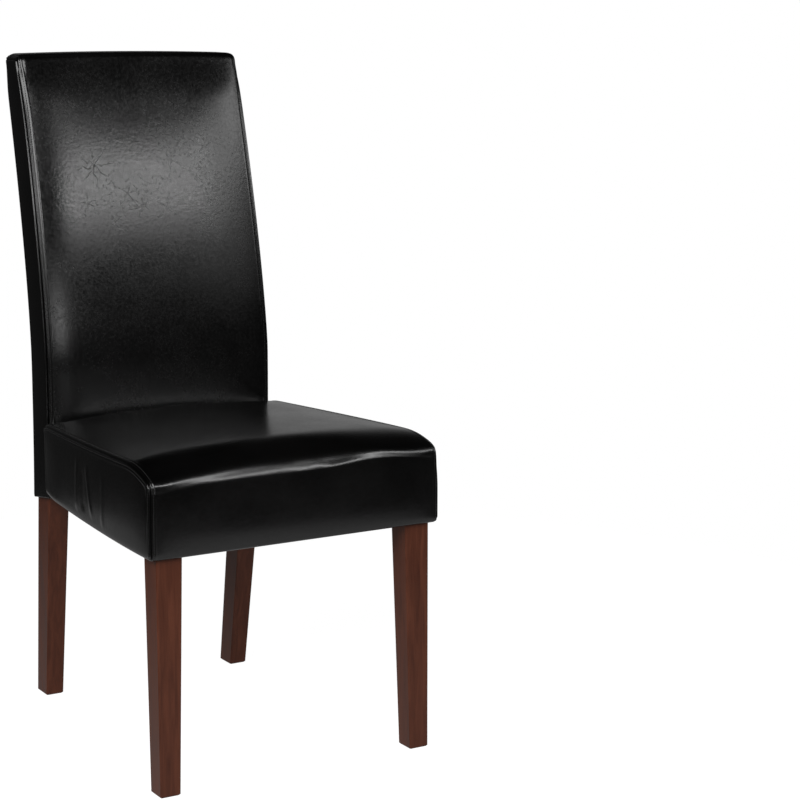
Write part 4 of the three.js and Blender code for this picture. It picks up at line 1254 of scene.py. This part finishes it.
FLOOR_RADIUS = 1.4
FLOOR_SIDES = 96
FLOOR_GREY = 0.25
FLOOR_GLOW_IN_FRONT = 0.48
FLOOR_GLOW_BEHIND = 0.20
FLOOR_GLOW_ON_THE_LEFT = 0.15
FLOOR_GLOW_LEFT_EDGE = (-0.85, -0.50)
FLOOR_GLOW_DEPTHS = (-1.0, 0.8)
FLOOR_WHITENESS = 0.96


def make_floor():
    turns = 2 * np.pi * np.arange(FLOOR_SIDES) / FLOOR_SIDES
    mesh = bpy.data.meshes.new("floor")
    corners = stack(FLOOR_RADIUS * np.cos(turns), FLOOR_RADIUS * np.sin(turns), 0)
    mesh.from_pydata(corners.tolist(), [], [list(range(FLOOR_SIDES))])
    placed("floor", mesh)
    material = bpy.data.materials.new("pale_floor_with_painted_glow")
    nodes = Nodes(material)
    split = nodes.split(nodes.place)
    # Painted glow: for rays other than the camera's, the floor emits light that is stronger in front of the
    # chair and weaker behind it and on its left. It lights the legs and shows in the leather's reflections.
    # Camera rays see the floor evenly white.
    pool = nodes.map_range(split["X"], *FLOOR_GLOW_LEFT_EDGE, FLOOR_GLOW_ON_THE_LEFT, 1)
    glow = nodes.map_range(split["Y"], *FLOOR_GLOW_DEPTHS, FLOOR_GLOW_IN_FRONT, FLOOR_GLOW_BEHIND)
    white = nodes.times(nodes.is_camera(), FLOOR_WHITENESS)
    nodes.set(
        Base_Color=(FLOOR_GREY, FLOOR_GREY, FLOOR_GREY, 1),
        Roughness=0.9,
        Specular_IOR_Level=0.0,
        Emission_Color=(1, 1, 1, 1),
        Emission_Strength=nodes.math("MAXIMUM", nodes.times(pool, glow), white),
    )
    mesh.materials.append(material)


ROOM_DARK = 0.028
ROOM_DARK_ABOVE = 0.007
ROOM_DARK_HEIGHTS = (0.30, 0.54)
ROOM_GLOW = 0.30
GLOW_DIRECTION = (0.50, 0.84, 0.20)
GLOW_FACINGS = (0.72, 0.98)
GLOW_HEIGHTS = (0.18, 0.36)


def make_world():
    """White where the camera looks past the floor. For reflections a dim room with a soft glow behind."""
    world = bpy.data.worlds.new("studio")
    bpy.context.scene.world = world
    nodes = Nodes(world, "Background")
    direction = nodes.coordinates["Generated"]
    facing = nodes.add("ShaderNodeVectorMath", operation="DOT_PRODUCT")
    nodes.fill(facing, {0: direction, 1: Vector(GLOW_DIRECTION).normalized()})
    glow = nodes.map_range(facing.outputs["Value"], *GLOW_FACINGS, 0, ROOM_GLOW, "SMOOTHSTEP")
    height = nodes.split(direction)["Z"]
    low_down = nodes.map_range(height, *GLOW_HEIGHTS, 1, 0)
    dark = nodes.map_range(height, *ROOM_DARK_HEIGHTS, ROOM_DARK, ROOM_DARK_ABOVE)
    lit = nodes.math("MULTIPLY_ADD", glow, low_down, dark)
    nodes.set(Color=(1, 1, 1, 1), Strength=nodes.math("MAXIMUM", lit, nodes.is_camera()))


# Area lights that face a target. Azimuth 0 is in front of the chair, and grows towards its right.
# Each row: name, target, azimuth, elevation, distance, width, height, radiance and roll.

BACK_MIDDLE = (0, 0.2, 0.83)
BACK_LEFT_EDGE = (-0.187, 0.21, 0.86)
BACK_LEFT_LOW = (-0.160, 0.17, 0.62)
LIGHTS = (
    ("key_left", BACK_MIDDLE, 19.5, 18.4, 3.0, 1.5, 0.26, 12.3, -1),
    ("key_right", BACK_MIDDLE, 49, 18.8, 3.0, 1.6, 0.50, 4.0, 4),
    ("low_right", BACK_MIDDLE, 42, 9.5, 3.0, 2.0, 0.70, 0.35, 0),
    ("low_front", BACK_LEFT_LOW, -2, 6, 2.6, 0.45, 0.35, 5.0, 0),
    ("left_side", BACK_LEFT_EDGE, -45, 24, 2.6, 2.8, 1.2, 7.0, 0),
)


def outward_direction(azimuth, elevation):
    around, up = math.radians(azimuth), math.radians(elevation)
    return Vector((math.sin(around) * math.cos(up), -math.cos(around) * math.cos(up), math.sin(up)))


def softbox(name, target, azimuth, elevation, distance, width, height, radiance, roll):
    outward = outward_direction(azimuth, elevation)
    light = bpy.data.lights.new(name, "AREA")
    light.shape = "RECTANGLE"
    light.size = width
    light.size_y = height
    light.energy = radiance * math.pi * width * height
    lamp = placed(name, light)
    lamp.location = Vector(target) + distance * outward
    lamp.rotation_mode = "QUATERNION"
    facing = (-outward).to_track_quat("-Z", "Y")
    lamp.rotation_quaternion = facing @ Matrix.Rotation(math.radians(roll), 3, "Z").to_quaternion()


CAMERA_PLACE = (-1.480, -2.7675, 1.1295)
CAMERA_AZIMUTH = -30.794
CAMERA_ELEVATION = 10.59
FOCAL_PIXELS = 2289.2
PICTURE_SIDE = 800
SENSOR = 36.0


def make_camera():
    data = bpy.data.cameras.new("camera")
    data.sensor_width = SENSOR
    data.lens = FOCAL_PIXELS / PICTURE_SIDE * SENSOR
    data.clip_end = 50
    camera = placed("camera", data)
    camera.location = Vector(CAMERA_PLACE) + Vector((0, LEG_FRONT, 0))
    camera.rotation_mode = "QUATERNION"
    forward = -outward_direction(CAMERA_AZIMUTH, CAMERA_ELEVATION)
    camera.rotation_quaternion = forward.to_track_quat("-Z", "Y")
    bpy.context.scene.camera = camera


# The frame's own pieces, and the covers that stand for its soft solids


def paint_node(name, material):
    obj = frame["nodes"][name]
    if not obj.material_slots:
        obj.data.materials.append(material)
    for slot in obj.material_slots:
        slot.material = material


PLAIN_FINISHES = {
    "frame_wood": ("bare_hardwood", (0.52, 0.33, 0.17), (0.40, 0.24, 0.11), 12, (6, 6, 0.8)),
    "plywood": ("bare_plywood", (0.60, 0.41, 0.22), (0.48, 0.30, 0.15), 9, (1, 8, 8)),
    "hardboard": ("brown_hardboard", (0.26, 0.14, 0.07), (0.19, 0.10, 0.05), 60),
    "foam": ("cushion_foam", (0.82, 0.72, 0.45), (0.74, 0.62, 0.36), 300, EVEN, DULL),
    "wadding": ("polyester_wadding", (0.88, 0.88, 0.85), (0.78, 0.78, 0.75), 90, EVEN, DULL),
    "dust_cloth": ("black_cloth", (0.022, 0.022, 0.022), (0.011, 0.011, 0.011), 700, EVEN, DULL),
}


def paint_frame():
    finishes = {"leg_wood": wood_material(), "zinc_steel": steel_material()}
    for slot, values in PLAIN_FINISHES.items():
        finishes[slot] = plain_material(*values)
    for part in frame["record"]["subparts"]:
        if part["material_slot"] in finishes:
            paint_node(part["node"], finishes[part["material_slot"]])


# The covers' pieces, in the order of their panels' numbers, and the solids that each stands for

STANDS_FOR = {
    "seat_top_and_front_panel": ("seat_cover_top_and_front", "seat_foam", "front_edge_pad"),
    "seat_side_panel_left": ("seat_cover_side_left", "side_edge_pad_left"),
    "seat_side_panel_right": ("seat_cover_side_right", "side_edge_pad_right"),
    "back_front_panel": ("back_cover_front", "back_foam"),
    "back_rear_panel_cover": ("back_cover_rear", "back_wadding"),
    "back_side_panel_left": ("back_cover_side_left",),
    "back_side_panel_right": ("back_cover_side_right",),
}


def main():
    make_camera()
    make_floor()
    make_world()
    for light in LIGHTS:
        softbox(*light)
    paint_frame()
    leather = leather_material("black_leather", 0.19, 0.25, 0.055, creased=False)
    creased_leather = leather_material("creased_black_leather", 0.20, 0.26, 0.100, creased=True)
    seat = make_cover("seat", seat_skin(), SEAT_PRESSURE, SEAT_PLUMP_CAP, seat_relief)
    back = make_cover("back", back_skin(), BACK_PRESSURE, BACK_PLUMP_CAP, back_relief)
    pieces = [
        panel_object(name, seat if panel < BACK_STRIP_FRONT else back, panel)
        for panel, name in enumerate(STANDS_FOR)
    ]
    thread = thread_material()
    stitch_seat(seat, thread)
    stitch_back(back, thread)
    for piece in pieces:
        piece.data.materials.append(creased_leather if piece.name == "back_front_panel" else leather)
        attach(piece, "root")
        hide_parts(*STANDS_FOR[piece.name])
    bpy.context.scene.view_settings.view_transform = "Standard"


main()
